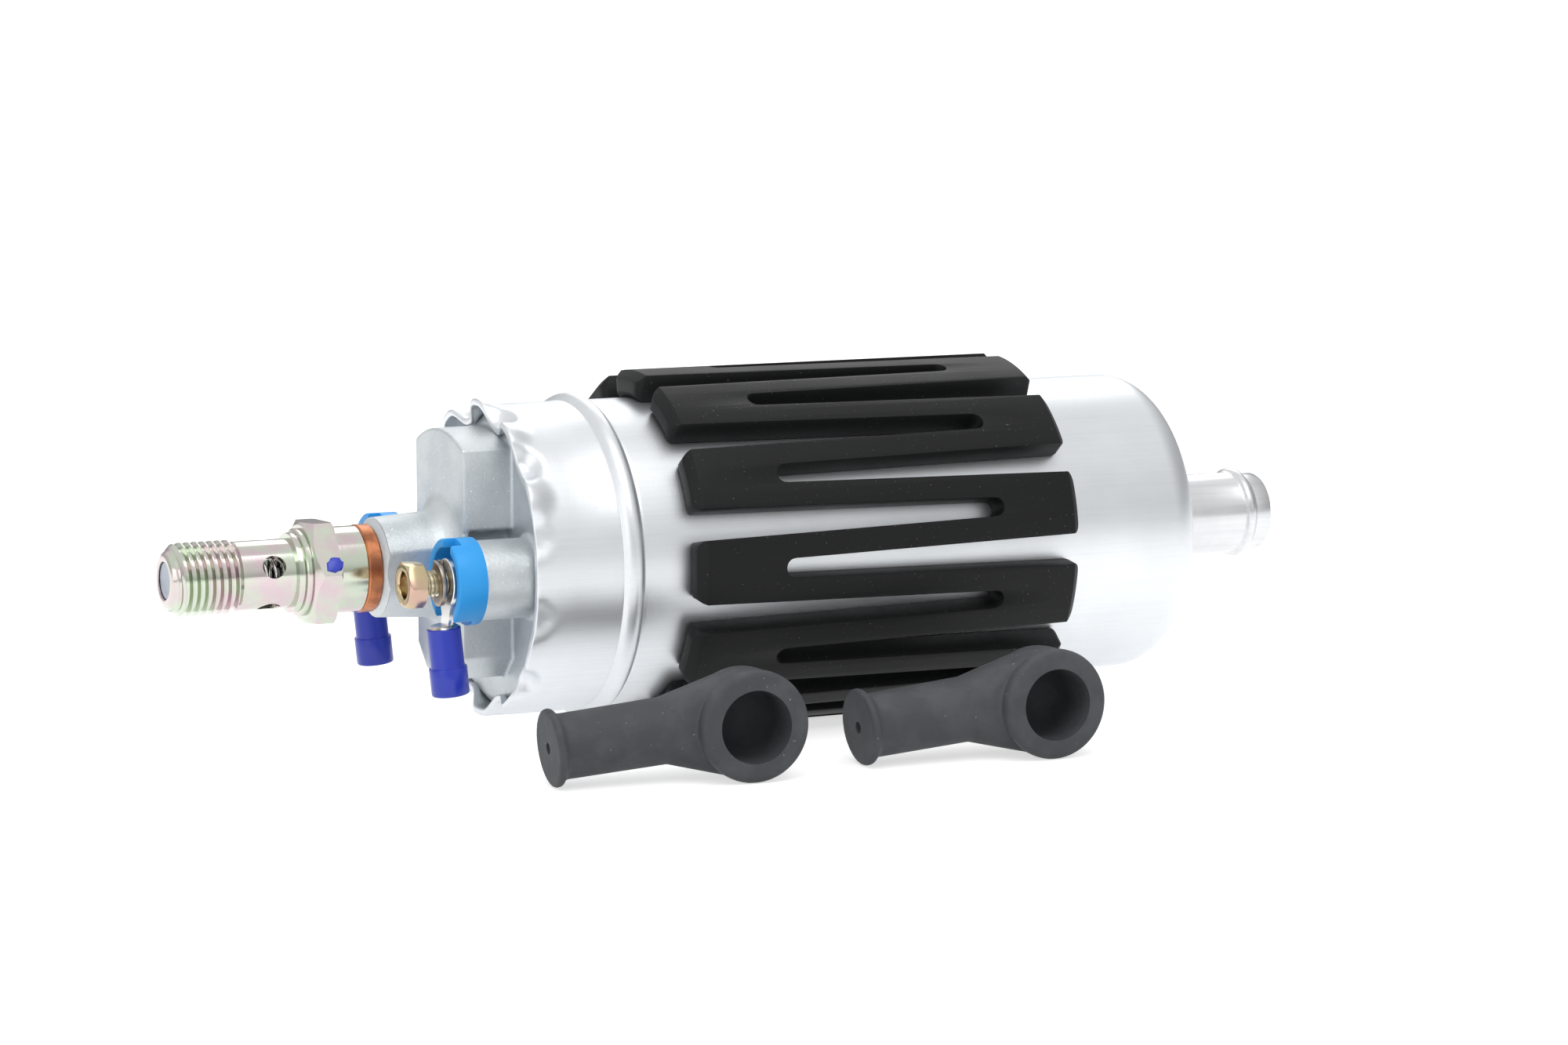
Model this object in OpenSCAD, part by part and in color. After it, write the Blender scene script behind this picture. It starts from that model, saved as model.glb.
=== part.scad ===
// In-line electric fuel pump with a roller-cell pumping stage, a permanent-magnet motor,
// a die-cast terminal cover, a check valve at the outlet and two rubber terminal caps.
// X runs along the pump, from the outlet at the negative end to the inlet at the positive end.
// The origin is on the pump's axis, at the middle of the rubber jacket. Z is up.

/* [Housing] */
// Outside radius of the drawn can
can_r = 30; // [29:0.5:33]
// Wall of the can
can_wall = 1.4; // [1:0.1:1.6]
// Distance from the jacket's middle to the crimped rim
rim_reach = 72.3; // [71.5:0.1:76]
// Distance from the jacket's middle to the inlet end face
end_reach = 72.5; // [72:0.5:76]
// Fillet of the shoulder at the inlet end
shoulder_r = 7; // [5:0.5:8]
// Distance from the jacket's middle to the rolled bead
bead_reach = 52.4; // [46:0.2:54]
// Height of the rolled bead over the can
bead_h = 1.5; // [0.8:0.1:2]
// Section radius of the rolled bead
bead_section = 2.6; // [2.2:0.1:3.2]
// Number of crimps on each half of the rim, between the two bosses
crimps_half = 4; // [3:1:5]
// How far the cover's face lies inside the rim
rim_depth = 2.3; // [1.8:0.1:3]

/* [Inlet spigot] */
// Outside radius of the inlet spigot
spigot_r = 8.3; // [7.5:0.1:9]
// Wall of the inlet spigot
spigot_wall = 1.7; // [1.4:0.1:2.6]
// Length of the spigot beyond the end face
spigot_len = 29.3; // [24:0.5:34]
// Height of the hose bead over the spigot
hose_bead_h = 0.95; // [0.4:0.05:1.4]
// How much thinner the nose beyond the hose bead is than the spigot, on the radius
nose_drop = 0.4; // [0.1:0.05:0.6]

/* [Rubber jacket] */
// Thickness of the rubber jacket
jacket_t = 5.25; // [4.2:0.05:7]
// Half of the jacket's length
jacket_half = 41.2; // [38:0.2:44]
// Number of pads at each end of the jacket
pad_count = 12; // [8:1:12]
// Length of the pads at the outlet end
pad_len_left = 18; // [14:0.5:22]
// Length of the pads at the inlet end
pad_len_right = 17; // [14:0.5:22]
// Slot width at its closed end
slot_closed_w = 3.7; // [3:0.1:4.5]
// Slot width at its open end
slot_open_w = 6.3; // [5:0.1:6.8]
// Bevel on the outer edge of each pad
pad_bevel = 1.7; // [0.8:0.1:2.2]
// Depth by which the lowest pads are pressed flat
rest_flat = 0.3; // [0.2:0.05:0.8]

/* [Terminal cover] */
// Distance from the cover's face to the front of the two brush housings
block_len = 10.2; // [9.6:0.1:13]
// Half width of the upper brush housing
block_half_w = 12.4; // [11:0.1:14]
// Gap between the upper brush housing and the crimped rim
rim_gap = 0.8; // [0.2:0.1:2]
// Distance from the axis to the underside of a brush housing
block_low_z = 7.5; // [7:0.1:8]
// Half width of the lower brush housing
lower_half_w = 12.3; // [10:0.1:13.5]
// Half width of the lower brush housing's foot
lower_foot_w = 6.5; // [4:0.1:8]
// Depth of the lower brush housing's straight sides
lower_side_z = 17; // [14:0.1:18]
// Depth of the lower brush housing
lower_z = 21.5; // [21:0.1:23]
// Distance from the cover's face to the sealing face of the neck
neck_len = 24.7; // [22:0.1:28]
// Neck radius at the sealing face
neck_r_tip = 9.5; // [9:0.1:10]
// Neck radius at the cover's face
neck_r_root = 11; // [10.5:0.1:12]
// Gap between a terminal boss and the can's bore
boss_gap = 0.75; // [0.3:0.05:1.5]
// Height of the terminals
terminal_z = -0.7; // [-1.5:0.1:0]
// Radius of the terminal bosses
boss_r = 7.55; // [7:0.05:7.8]
// Length of the terminal bosses
boss_len = 11.5; // [9.6:0.1:13]

/* [Terminals] */
// Thread radius of the terminal studs
stud_r = 2.5; // [2:0.25:3]
// Width across flats of the terminal nuts
nut_af = 8; // [7.5:0.5:9]
// Height of the terminal nuts
nut_h = 3.8; // [3.2:0.1:5]
// Bare thread between the terminal nut and its washer
nut_gap = 2.4; // [0.3:0.1:3]
// Outside radius of the insulating collars
collar_r = 8.27; // [7.8:0.05:8.6]
// Length of the insulating collars
collar_len = 4.8; // [4:0.1:7]
// Sheet thickness of the ring terminals
lug_t = 0.9; // [0.6:0.1:1.2]
// Radius of the ring terminals' eye
lug_r = 4.6; // [4:0.1:5]
// Width of the tongue of the ring terminals
tongue_w = 3.6; // [3:0.1:4]
// Outside radius of the crimp sleeves
sleeve_r = 3.2; // [3:0.1:3.5]
// Outside radius of the flared end of the crimp sleeves
flare_r = 3.6; // [3.3:0.1:4]
// Length of the crimp sleeves
sleeve_len = 12.3; // [10:0.1:15]
// Lean of the crimp sleeves
sleeve_lean = 6; // [0:1:10]

/* [Check valve] */
// Major radius of the outlet thread
thread_r = 6.95; // [6:0.05:7.5]
// Pitch of the outlet thread
thread_pitch = 1.5; // [1:0.25:1.5]
// Length of the outlet thread
thread_len = 11.5; // [9:0.5:14]
// How much thinner the plain shank is than the thread, on the radius
shank_drop = 0.4; // [0.1:0.05:0.7]
// Length of the plain shank
shank_len = 10.6; // [9:0.1:13]
// Width across flats of the valve's hexagon
hex_af = 19; // [17:1:22]
// Length of the valve's hexagon
hex_len = 5; // [4:0.5:7]
// Radius of the round body behind the hexagon
valve_body_r = 8.25; // [7.8:0.05:8.6]
// Length of the round body behind the hexagon
valve_body_len = 6.1; // [5:0.1:8]
// Thickness of the copper washer
washer_t = 2.7; // [1.5:0.1:3]
// Radius of the cross holes
cross_r = 2.2; // [1.5:0.1:2.3]
// Bore radius of the valve chamber
chamber_r = 4.3; // [4:0.05:4.6]

/* [Motor] */
// Radius of the motor shaft
shaft_r = 3; // [2.5:0.1:3.2]
// Radius of the laminated core
core_r = 17.8; // [16.5:0.1:18.2]
// Gap between the commutator and the winding
turn_gap_left = 2.9; // [1.5:0.1:6]
// Gap between the winding and the outlet plate
turn_gap_right = 7.9; // [4:0.1:14]
// Number of core slots
core_slots = 12; // [8:1:13]
// Running gap between the core and the magnets
air_gap = 1; // [0.6:0.1:1.5]
// Radius of the commutator
comm_r = 17.2; // [16.7:0.1:18]
// Thickness of the commutator
comm_t = 6; // [4:0.5:7]
// Radial depth of the brushes
brush_d = 6; // [5:0.5:6]
// Width of the brushes
brush_w = 8; // [6:0.5:9]
// Length of the brushes
brush_len = 12.3; // [10:0.1:13]
// Distance from the brushes' outer side to the commutator's edge
brush_edge = 0.7; // [0.2:0.1:1.5]

/* [Pumping stage] */
// Thickness of the pump ring
ring_t = 8; // [6:0.5:9]
// Thickness of each side plate
plate_t = 6; // [5:0.5:7]
// Radius of the rotor disc
rotor_r = 15.4; // [14:0.1:16]
// Eccentricity of the pump ring's bore
ecc = 1.8; // [1:0.1:2]
// Radius of the rollers
roller_r = 2.5; // [2:0.1:2.7]
// Number of rollers
roller_count = 5; // [4:1:6]
// Distance from the can's bore to the centres of the screws, pins and relief valve
fix_edge = 5.05; // [4.6:0.05:5.5]
// Radius of the relief ball
ball_r = 2.5; // [2:0.1:2.6]

/* [Terminal caps] */
// Outside radius of a rubber cap's cup
cup_r = 10.5; // [9.5:0.1:12]
// Wall of a rubber cap's cup
cup_wall = 3.65; // [2.4:0.05:4.5]
// Distance from a cap's rim to the middle of its arm
cup_depth = 10.2; // [9:0.1:13]
// Radius of a cap's arm
arm_r = 6.2; // [5.6:0.1:7]
// Wall of a cap's arm
arm_wall = 2; // [1.5:0.1:3]
// Length of a cap's arm from the cup's middle
arm_len = 37; // [30:0.1:42]
// Radius of the flange on a cap's arm
flange_r = 7.3; // [6.8:0.1:8]
// Radius of the pilot hole in a cap's flange
pilot_r = 1.1; // [0.6:0.1:2]

/* [Hidden] */

// Smoothness of true curves and of curves that become facets
$fn = 64;
coarse = 32;

// Fits: a cut's overshoot, a running fit, a close fit and a loose seat
over = 0.4;
run_fit = 0.03;
close_fit = 0.05;
seat_fit = 0.1;

// Housing
can_bore = can_r - can_wall;
in_can_r = can_bore - close_fit;
rim_x = -rim_reach;
cover_x = rim_x + rim_depth;
end_x = end_reach;
end_in_x = end_x - can_wall;
shoulder_c = can_r - shoulder_r;
bead_x = -bead_reach;
bead_c = can_r + bead_h - bead_section;
crimp_arc = 150;
crimp_pitch = crimp_arc / (crimps_half + 1);
crimp_angles = [for (top = [90, 270], i = [1:crimps_half]) top - crimp_arc / 2 + i * crimp_pitch];
crimp_ball = 9;
crimp_lift = 7.6;
crimp_ahead = 2.7;
crimp_tab = 1.9;

// Inlet spigot
spigot_bore = spigot_r - spigot_wall;
spigot_flange = 2.7;
spigot_flange_t = 1.2;
nose_len = 5.4;
nose_bevel = 0.7;
hose_bead_run = 1.7;
screen_inset = 1.5;
screen_t = 2;
screen_wire = 0.35;
nose_r = spigot_r - nose_drop;

// Rubber jacket
jacket_bore = can_r + 0.15;
jacket_r = jacket_bore + jacket_t;

// Pumping stage, stacked back from the inlet end
fix_r = in_can_r - fix_edge;
seat_x = end_x - shoulder_r - 1.5;
inlet_x0 = seat_x - plate_t;
ring_x0 = inlet_x0 - ring_t;
outlet_x0 = ring_x0 - plate_t;
ring_bore = rotor_r + ecc + 0.2;
roller_c = rotor_r - roller_r;
side_fit = 0.05;
screw_head_r = 3.4;
boss_ring_r = fix_r - screw_head_r - 0.9;
boss_ring_bore = spigot_r + spigot_flange + 1.5;
flow_slot_w = 5;
port_r = 2.6;
port_y = 9;
port_z = 3.4;
screw_r = 2;
screw_head_h = 2.6;
socket_af = 3;
socket_floor = 0.8;
blind_x = outlet_x0 + 1.5;
blind_gap = 0.5;
screw_angles = [90, 210, 330];
pin_r = 1.5;
pin_angles = [0, 180];
relief_hole = ball_r + 0.6;
relief_seat = ball_r * 0.64;
ball_seat = sqrt(ball_r * ball_r - relief_seat * relief_seat);
ball_x = ring_x0 + ball_seat + run_fit;
retainer_t = 1.6;
retainer_bore = 1.2;

// Motor
flux_r = in_can_r;
flux_wall = 3.95;
flux_bore = flux_r - flux_wall;
skirt_len = 12;
skirt_end_x = cover_x + skirt_len;
magnet_over = 8;
magnet_span = 150;
turn_left = 13;
turn_right = 10;
turn_gap = 0.1;
turn_inner_gap = 3;
turn_outer_gap = 1.6;
turn_round = 2.5;
slot_w = 2.6;
slot_depth = 6;
slot_mouth = 1;
bar_fit = 0.2;
bar_top = 2.2;
comm_gap = 4;
comm_cut = 1.5;
comm_hub = 3.5;
comm_slit = 0.5;
clip_t = 1;
brush_gap = 0.1;
comm_x = skirt_end_x + comm_gap;
core_x0 = comm_x + comm_t + turn_gap_left + turn_left + turn_gap;
core_x1 = outlet_x0 - turn_gap_right - turn_right - turn_gap;
brush_z = comm_r - brush_edge - brush_d / 2;
shaft_inset = 1.5;
shaft_x0 = cover_x + shaft_inset;
shaft_x1 = inlet_x0 - 0.5;
shaft_bevel = 0.5;
bush_wall = 2;
bush_r = shaft_r + bush_wall;
rear_bush_x = skirt_end_x - 8;
hub_wall = 2.4;
hub_x = rear_bush_x - 0.5;
flow_ring_r = 14;

// Cover
flange_t = 2.5;
skirt_step_x = skirt_end_x - 3;
skirt_bore = in_can_r - 3.15;
skirt_bore_deep = skirt_bore - 0.6;
groove_x = cover_x + 4.5;
groove_w = 2.6;
seal_r = 0.9;
block_x = cover_x - block_len;
block_top_r = can_bore - crimp_tab - rim_gap;
terminal_y = can_bore - boss_gap - boss_r;
neck_x = cover_x - neck_len;
neck_flat_tip = neck_r_tip - 0.7;
neck_flat_root = neck_r_root - 1.2;
stub_r = 5;
stub_len = 8;
stub_gap = 0.7;
stub_step = 1;
stub_wall = 2;
tunnel_wall = 2.2;
tunnel_x = block_x + tunnel_wall;
carrier_wall = 0.9;
guide_wall = 1.4;
tube_half_w = brush_w / 2 + seat_fit + carrier_wall;
tube_half_d = brush_d / 2 + seat_fit + carrier_wall;

// Terminals, stacked out from the boss
boss_x = cover_x - boss_len;
collar_floor = 1.5;
collar_wall = 1.65;
collar_notch = 1;
collar_x = boss_x - collar_len;
stud_bore = stud_r + 1;
clamp_h = 3;
clamp_x = boss_x - collar_floor - clamp_h;
lug_x = clamp_x - close_fit - lug_t;
split_t = 2.2;
split_w = 0.7;
split_angle = 55;
split_x = lug_x - close_fit - split_t;
nut_x = split_x - nut_gap - nut_h;
stud_inset = 2;
stud_x0 = nut_x + stud_inset;
inner_washer_t = 1.1;
head_x = cover_x + flange_t + inner_washer_t;
head_h = 2;
head_r = stud_r + 1.2;
inner_washer_r = stud_r + 1.8;
mouth_w = tongue_w + 4.4;
stud_pitch = 0.8;
barrel_r = sleeve_r - 0.45;
barrel_bore = 1.75;
sleeve_top = terminal_z - collar_r - 0.75;
flare_len = sleeve_len * 0.43;
barrel_set = 0.8;

// Check valve, stacked out from the washer
valve_x = neck_x - washer_t;
hex_x1 = valve_x - valve_body_len;
hex_x0 = hex_x1 - hex_len;
collar_rings_len = 2.5;
shank_x1 = hex_x0 - collar_rings_len;
shank_x0 = shank_x1 - shank_len;
thread_x0 = shank_x0 - thread_len;
tip_len = 2.1;
shank_r = thread_r - shank_drop;
tip_x = thread_x0 - tip_len;
cross_x = shank_x1 - 4.5;
cross_angle = 70;
chamber_x1 = hex_x1 - 2.5;
orifice_r = 2.2;
washer_over = 0.15;
hex_bevel = 0.6;
collar_step = 1;
stem_len = 4.5;
plunger_r = chamber_r - 0.4;
plunger_t = 2.2;
plug_t = 2.1;
plug_x = tip_x + 0.4;

// Terminal caps: plan position of the rim's middle and the cap's turn about Z
floor_z = -jacket_r + rest_flat;
cup_bore = cup_r - cup_wall;
arm_bore = arm_r - arm_wall;
cup_back = cup_depth + arm_r + 0.2;
dome_start = cup_depth - 1.6;
cap_tilt = asin((cup_r - flange_r) / arm_len);
cap_left = [-43, -63.8, -4.5];
cap_right = [18.3, -66.7, -1];
cap_lift = 0.05;
rim_round = 1.3;

// A solid's places along X, as a disc, a tube or a turned profile of [radius, x] points
module disc_x(x0, x1, r) {
    translate([x0, 0, 0]) rotate([0, 90, 0]) cylinder(r = r, h = x1 - x0);
}

module tube_x(x0, x1, r_out, r_in) {
    difference() {
        disc_x(x0, x1, r_out);
        disc_x(x0 - over, x1 + over, r_in);
    }
}

module cone_x(x0, x1, r0, r1) {
    translate([x0, 0, 0]) rotate([0, 90, 0]) cylinder(r1 = r0, r2 = r1, h = x1 - x0);
}

module turned_x(points, sweep = 360) {
    rotate([0, 90, 0]) rotate_extrude(angle = sweep) polygon(points);
}

module sector_x(points, middle, span) {
    rotate([middle + 90 - span / 2, 0, 0]) turned_x(points, span);
}

module hex_x(x0, x1, af) {
    translate([x0, 0, 0]) rotate([0, 90, 0]) rotate(30)
        cylinder(r = af / sqrt(3), h = x1 - x0, $fn = 6);
}

module at_polar(angle, r) {
    rotate([angle, 0, 0]) translate([0, r, 0]) children();
}

module box_x(x0, x1, half_y, z0, z1) {
    translate([x0, -half_y, z0]) cube([x1 - x0, 2 * half_y, z1 - z0]);
}

// Points of an arc in a turned profile, from angle a0 to angle a1
function arc_points(cr, cx, r, a0, a1, steps) =
    [for (i = [0:steps]) let (a = a0 + (a1 - a0) * i / steps) [cr + r * cos(a), cx + r * sin(a)]];

// A shallow thread as grooves cut into a turned shank
module thread_grooves(x0, x1, r, pitch) {
    depth = pitch * 0.61;
    count = floor((x1 - x0) / pitch);
    start = x0 + (x1 - x0 - count * pitch) / 2 + pitch / 2;
    for (i = [0:count - 1])
        turned_x([
            [r + over, start + i * pitch - pitch * 0.42 - over * 0.5],
            [r + over, start + i * pitch + pitch * 0.42 + over * 0.5],
            [r - depth, start + i * pitch + pitch * 0.07],
            [r - depth, start + i * pitch - pitch * 0.07]
        ]);
}

// Wound springs: the coil's own middle line, and the tube that follows it
relief_wire = 0.3;
relief_turns = 5;
brush_wire = 0.35;
brush_turns = 6;
valve_wire = 0.38;
valve_turns = 12;
valve_coil_r = chamber_r - 1.25;
coil_sides = 6;
coil_rings = 8;
function coil_point(i, r, turns, x0, x1, wire) =
    let (a = 360 * i / coil_rings, rise = (x1 - x0 - 2 * wire) / (turns * coil_rings))
    [x0 + wire + i * rise, r * cos(a), r * sin(a)];

function ring_points(i, r, turns, x0, x1, wire) =
    let (
        p = coil_point(i, r, turns, x0, x1, wire),
        a = 360 * i / coil_rings,
        out = [0, cos(a), sin(a)]
    )
    [for (k = [0:coil_sides - 1])
        let (b = 360 * k / coil_sides)
        p + wire * (cos(b) * out + sin(b) * [1, 0, 0])];

module coil_spring(r, wire, turns, x0, x1) {
    last = turns * coil_rings;
    gap = (x1 - x0 - 2 * wire) / turns - 2 * wire;
    echo(str("least gap between the curls of a spring, mm: ", gap));
    wall = [for (i = [0:last - 1], k = [0:coil_sides - 1])
        let (n = (k + 1) % coil_sides)
        [i * coil_sides + k, i * coil_sides + n, (i + 1) * coil_sides + n, (i + 1) * coil_sides + k]];
    split_wall = [for (q = wall) for (t = [[q[0], q[1], q[2]], [q[0], q[2], q[3]]]) t];
    first_cap = [for (k = [1:coil_sides - 2]) [0, k + 1, k]];
    base = last * coil_sides;
    last_cap = [for (k = [1:coil_sides - 2]) [base, base + k, base + k + 1]];
    polyhedron(
        points = [for (i = [0:last]) for (p = ring_points(i, r, turns, x0, x1, wire)) p],
        faces = concat(split_wall, first_cap, last_cap),
        convexity = 10
    );
}

// Drawn can: straight wall, rolled bead, filleted shoulder and a crimped rim
module can_shell() {
    difference() {
        union() {
            turned_x(concat(
                [[0, rim_x], [can_r, rim_x]],
                arc_points(shoulder_c, end_x - shoulder_r, shoulder_r, 0, 90, 8),
                [[0, end_x]]
            ));
            rotate([0, 90, 0]) rotate_extrude() translate([bead_c, bead_x]) circle(bead_section);
        }
        turned_x(concat(
            [[0, rim_x - over], [can_bore, rim_x - over]],
            arc_points(shoulder_c, end_x - shoulder_r, shoulder_r - can_wall, 0, 90, 8),
            [[0, end_in_x]]
        ));
        rotate([0, 90, 0]) rotate_extrude()
            translate([bead_c, bead_x]) circle(bead_section - can_wall);
        disc_x(end_in_x - over, end_x + over, spigot_r + close_fit);
        for (a = crimp_angles)
            at_polar(a, can_r + crimp_lift)
                translate([rim_x - crimp_ahead, 0, 0]) sphere(crimp_ball);
    }
}

module crimp_tabs() {
    span = crimp_pitch * 0.45;
    for (a = crimp_angles)
        sector_x([
            [can_bore + 0.1, rim_x],
            [can_bore + 0.1, cover_x - close_fit],
            [can_bore - crimp_tab, cover_x - close_fit - 0.6],
            [can_bore - crimp_tab, rim_x + 0.3]
        ], a, span);
}

module can_housing() {
    color("silver") {
        can_shell();
        crimp_tabs();
    }
}

// Inlet spigot: a turned tube flanged inside the can's end, with a hose bead and a nose
module inlet_spigot() {
    tip = end_x + spigot_len;
    bead = tip - nose_len;
    flange = spigot_r + spigot_flange;
    flange_x = end_in_x - spigot_flange_t;
    color("gainsboro") difference() {
        turned_x([
            [0, flange_x], [flange, flange_x], [flange, end_in_x],
            [spigot_r, end_in_x], [spigot_r, bead - hose_bead_run], [spigot_r + hose_bead_h, bead - 0.6],
            [spigot_r + hose_bead_h, bead + 0.5], [nose_r, bead + hose_bead_run],
            [nose_r, tip - nose_bevel], [nose_r - nose_bevel, tip], [0, tip]
        ]);
        disc_x(flange_x - over, tip + over, spigot_bore);
    }
}

// Inlet screen: a thin ring with a square mesh across it
module inlet_screen() {
    ring_x = end_x + screen_inset;
    wire_x = ring_x + screen_t / 2 - screen_wire / 2;
    ring_in = spigot_bore - 2.5 * screen_wire;
    step = ring_in / 4;
    color("lightgray") {
        tube_x(ring_x, ring_x + screen_t, spigot_bore - close_fit, ring_in);
        for (i = [-3:3]) {
            reach = sqrt(ring_in * ring_in - i * i * step * step) + screen_wire / 2;
            translate([wire_x, i * step - screen_wire / 2, -reach])
                cube([screen_wire, screen_wire, 2 * reach]);
            translate([wire_x, -reach, i * step - screen_wire / 2])
                cube([screen_wire, 2 * reach, screen_wire]);
        }
    }
}

// Holes shared by the side plates and the pump ring
module fixing_holes(x0, x1) {
    for (a = screw_angles) at_polar(a, fix_r) disc_x(x0 - over, x1 + over, screw_r + seat_fit);
    for (a = pin_angles) at_polar(a, fix_r) disc_x(x0 - over, x1 + over, pin_r + run_fit);
}

module inlet_plate() {
    color("slategray") difference() {
        union() {
            disc_x(inlet_x0, seat_x, in_can_r);
            tube_x(seat_x, end_in_x, boss_ring_r, boss_ring_bore);
        }
        fixing_holes(inlet_x0, seat_x);
        at_polar(270, fix_r) disc_x(inlet_x0 - over, seat_x + over, relief_hole);
        translate([0, -port_y, port_z]) disc_x(inlet_x0 - over, seat_x + over, port_r);
        for (a = [45, 135])
            rotate([a, 0, 0])
                box_x(seat_x, end_in_x + over, boss_ring_r + over, -flow_slot_w / 2, flow_slot_w / 2);
    }
}

module pump_ring() {
    color("dimgray") difference() {
        disc_x(ring_x0, inlet_x0, in_can_r);
        translate([0, 0, ecc]) disc_x(ring_x0 - over, inlet_x0 + over, ring_bore);
        fixing_holes(ring_x0, inlet_x0);
        at_polar(270, fix_r) disc_x(ring_x0 - over, inlet_x0 + over, relief_hole);
    }
}

module rotor_disc() {
    color("darkgray") difference() {
        disc_x(ring_x0 + side_fit, inlet_x0 - side_fit, rotor_r);
        disc_x(ring_x0 - over, inlet_x0 + over, shaft_r + close_fit);
        for (i = [0:roller_count - 1])
            rotate([90 + i * 360 / roller_count, 0, 0]) {
                translate([0, roller_c, 0])
                    disc_x(ring_x0 - over, inlet_x0 + over, roller_r + close_fit);
                translate([ring_x0 - over, roller_c, -roller_r - close_fit])
                    cube([ring_t + 2 * over, rotor_r, 2 * (roller_r + close_fit)]);
            }
    }
}

module rollers() {
    color("silver")
        for (i = [0:roller_count - 1])
            rotate([90 + i * 360 / roller_count, 0, 0]) translate([0, roller_c, 0])
                disc_x(ring_x0 + side_fit, inlet_x0 - side_fit, roller_r);
}

module outlet_plate() {
    color("slategray") difference() {
        disc_x(outlet_x0, ring_x0, in_can_r);
        disc_x(outlet_x0 - over, ring_x0 + over, bush_r + close_fit);
        fixing_holes(blind_x + over, ring_x0);
        at_polar(270, fix_r) disc_x(outlet_x0 - over, ring_x0 + over, relief_seat);
        translate([0, port_y, port_z]) disc_x(outlet_x0 - over, ring_x0 + over, port_r);
    }
}

module pump_screws() {
    color("silver")
        for (a = screw_angles) at_polar(a, fix_r) difference() {
            union() {
                disc_x(blind_x + blind_gap, seat_x, screw_r);
                disc_x(seat_x, seat_x + screw_head_h, screw_head_r);
            }
            hex_x(seat_x + socket_floor, seat_x + screw_head_h + over, socket_af);
        }
}

module dowel_pins() {
    color("gray")
        for (a = pin_angles) at_polar(a, fix_r) disc_x(blind_x + blind_gap, seat_x - 1, pin_r);
}

module relief_ball() {
    color("white") at_polar(270, fix_r) translate([ball_x, 0, 0]) sphere(ball_r);
}

module relief_spring() {
    color("silver") at_polar(270, fix_r)
        coil_spring(ball_r - 0.7, relief_wire, relief_turns, ball_x + ball_r * 0.8, seat_x - retainer_t);
}

module relief_retainer() {
    color("goldenrod") at_polar(270, fix_r)
        tube_x(seat_x - retainer_t, seat_x, relief_hole - close_fit, retainer_bore);
}

// Rotating motor parts
module motor_shaft() {
    color("lightsteelblue") turned_x([
        [0, shaft_x0], [shaft_r - shaft_bevel, shaft_x0], [shaft_r, shaft_x0 + shaft_bevel],
        [shaft_r, shaft_x1 - shaft_bevel], [shaft_r - shaft_bevel, shaft_x1], [0, shaft_x1]
    ]);
}

module core_slot_boxes(x0, x1, width, r0, r1) {
    for (i = [0:core_slots - 1])
        rotate([i * 360 / core_slots, 0, 0])
            translate([x0, r0, -width / 2]) cube([x1 - x0, r1 - r0, width]);
}

module core_stack() {
    color("gray") difference() {
        disc_x(core_x0, core_x1, core_r);
        disc_x(core_x0 - over, core_x1 + over, shaft_r + close_fit);
        core_slot_boxes(core_x0 - over, core_x1 + over, slot_w,
            core_r - slot_depth, core_r - slot_mouth);
        core_slot_boxes(core_x0 - over, core_x1 + over, slot_w / 2,
            core_r - 2 * slot_mouth, core_r + slot_mouth);
    }
}

// End turns at both ends of the core, joined by the bars that lie in its slots
module end_turn(x0, x1) {
    r_in = shaft_r + turn_inner_gap;
    r_out = core_r - turn_outer_gap;
    round = turn_round;
    turned_x([
        [r_in, x0], [r_in, x1], [r_out - round, x1], [r_out, x1 - round],
        [r_out, x0 + round], [r_out - round, x0]
    ]);
}

module winding() {
    color("chocolate") {
        end_turn(core_x0 - turn_gap - turn_left, core_x0 - turn_gap);
        end_turn(core_x1 + turn_gap, core_x1 + turn_gap + turn_right);
        core_slot_boxes(core_x0 - 1, core_x1 + 1, slot_w - 2 * bar_fit,
            core_r - slot_depth + bar_fit, core_r - bar_top);
    }
}

module commutator() {
    color("peru") difference() {
        disc_x(comm_x, comm_x + comm_t, comm_r);
        disc_x(comm_x - over, comm_x + comm_t + over, shaft_r + close_fit);
        disc_x(comm_x - over, comm_x + comm_cut, shaft_r + comm_hub);
        for (i = [0:core_slots / 2 - 1])
            rotate([(i + 0.5) * 360 / core_slots, 0, 0])
                box_x(comm_x - over, comm_x + comm_cut, comm_r + 1, -comm_slit / 2, comm_slit / 2);
    }
}

// Fixed motor parts
module flux_ring() {
    color("lightgray") tube_x(skirt_end_x, outlet_x0, flux_r, flux_bore);
}

module motor_arc(r, middle, span) {
    x0 = core_x0 - magnet_over;
    x1 = core_x1 + magnet_over;
    r_out = flux_bore - close_fit;
    sector_x([[r, x0], [r_out, x0], [r_out, x1], [r, x1]], middle, span);
}

module magnet_upper() {
    color("dimgray") motor_arc(core_r + air_gap, 90, magnet_span);
}

module magnet_lower() {
    color("dimgray") motor_arc(core_r + air_gap, 270, magnet_span);
}

module magnet_clips() {
    color("lightgray")
        for (a = [0, 180]) motor_arc(flux_bore - clip_t, a, 180 - magnet_span - 1);
}

module front_bush() {
    color("goldenrod")
        tube_x(outlet_x0 + seat_fit, ring_x0 - seat_fit, bush_r, shaft_r + run_fit);
}

module rear_bush() {
    color("goldenrod")
        tube_x(rear_bush_x, skirt_end_x - seat_fit, bush_r, shaft_r + run_fit);
}

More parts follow.
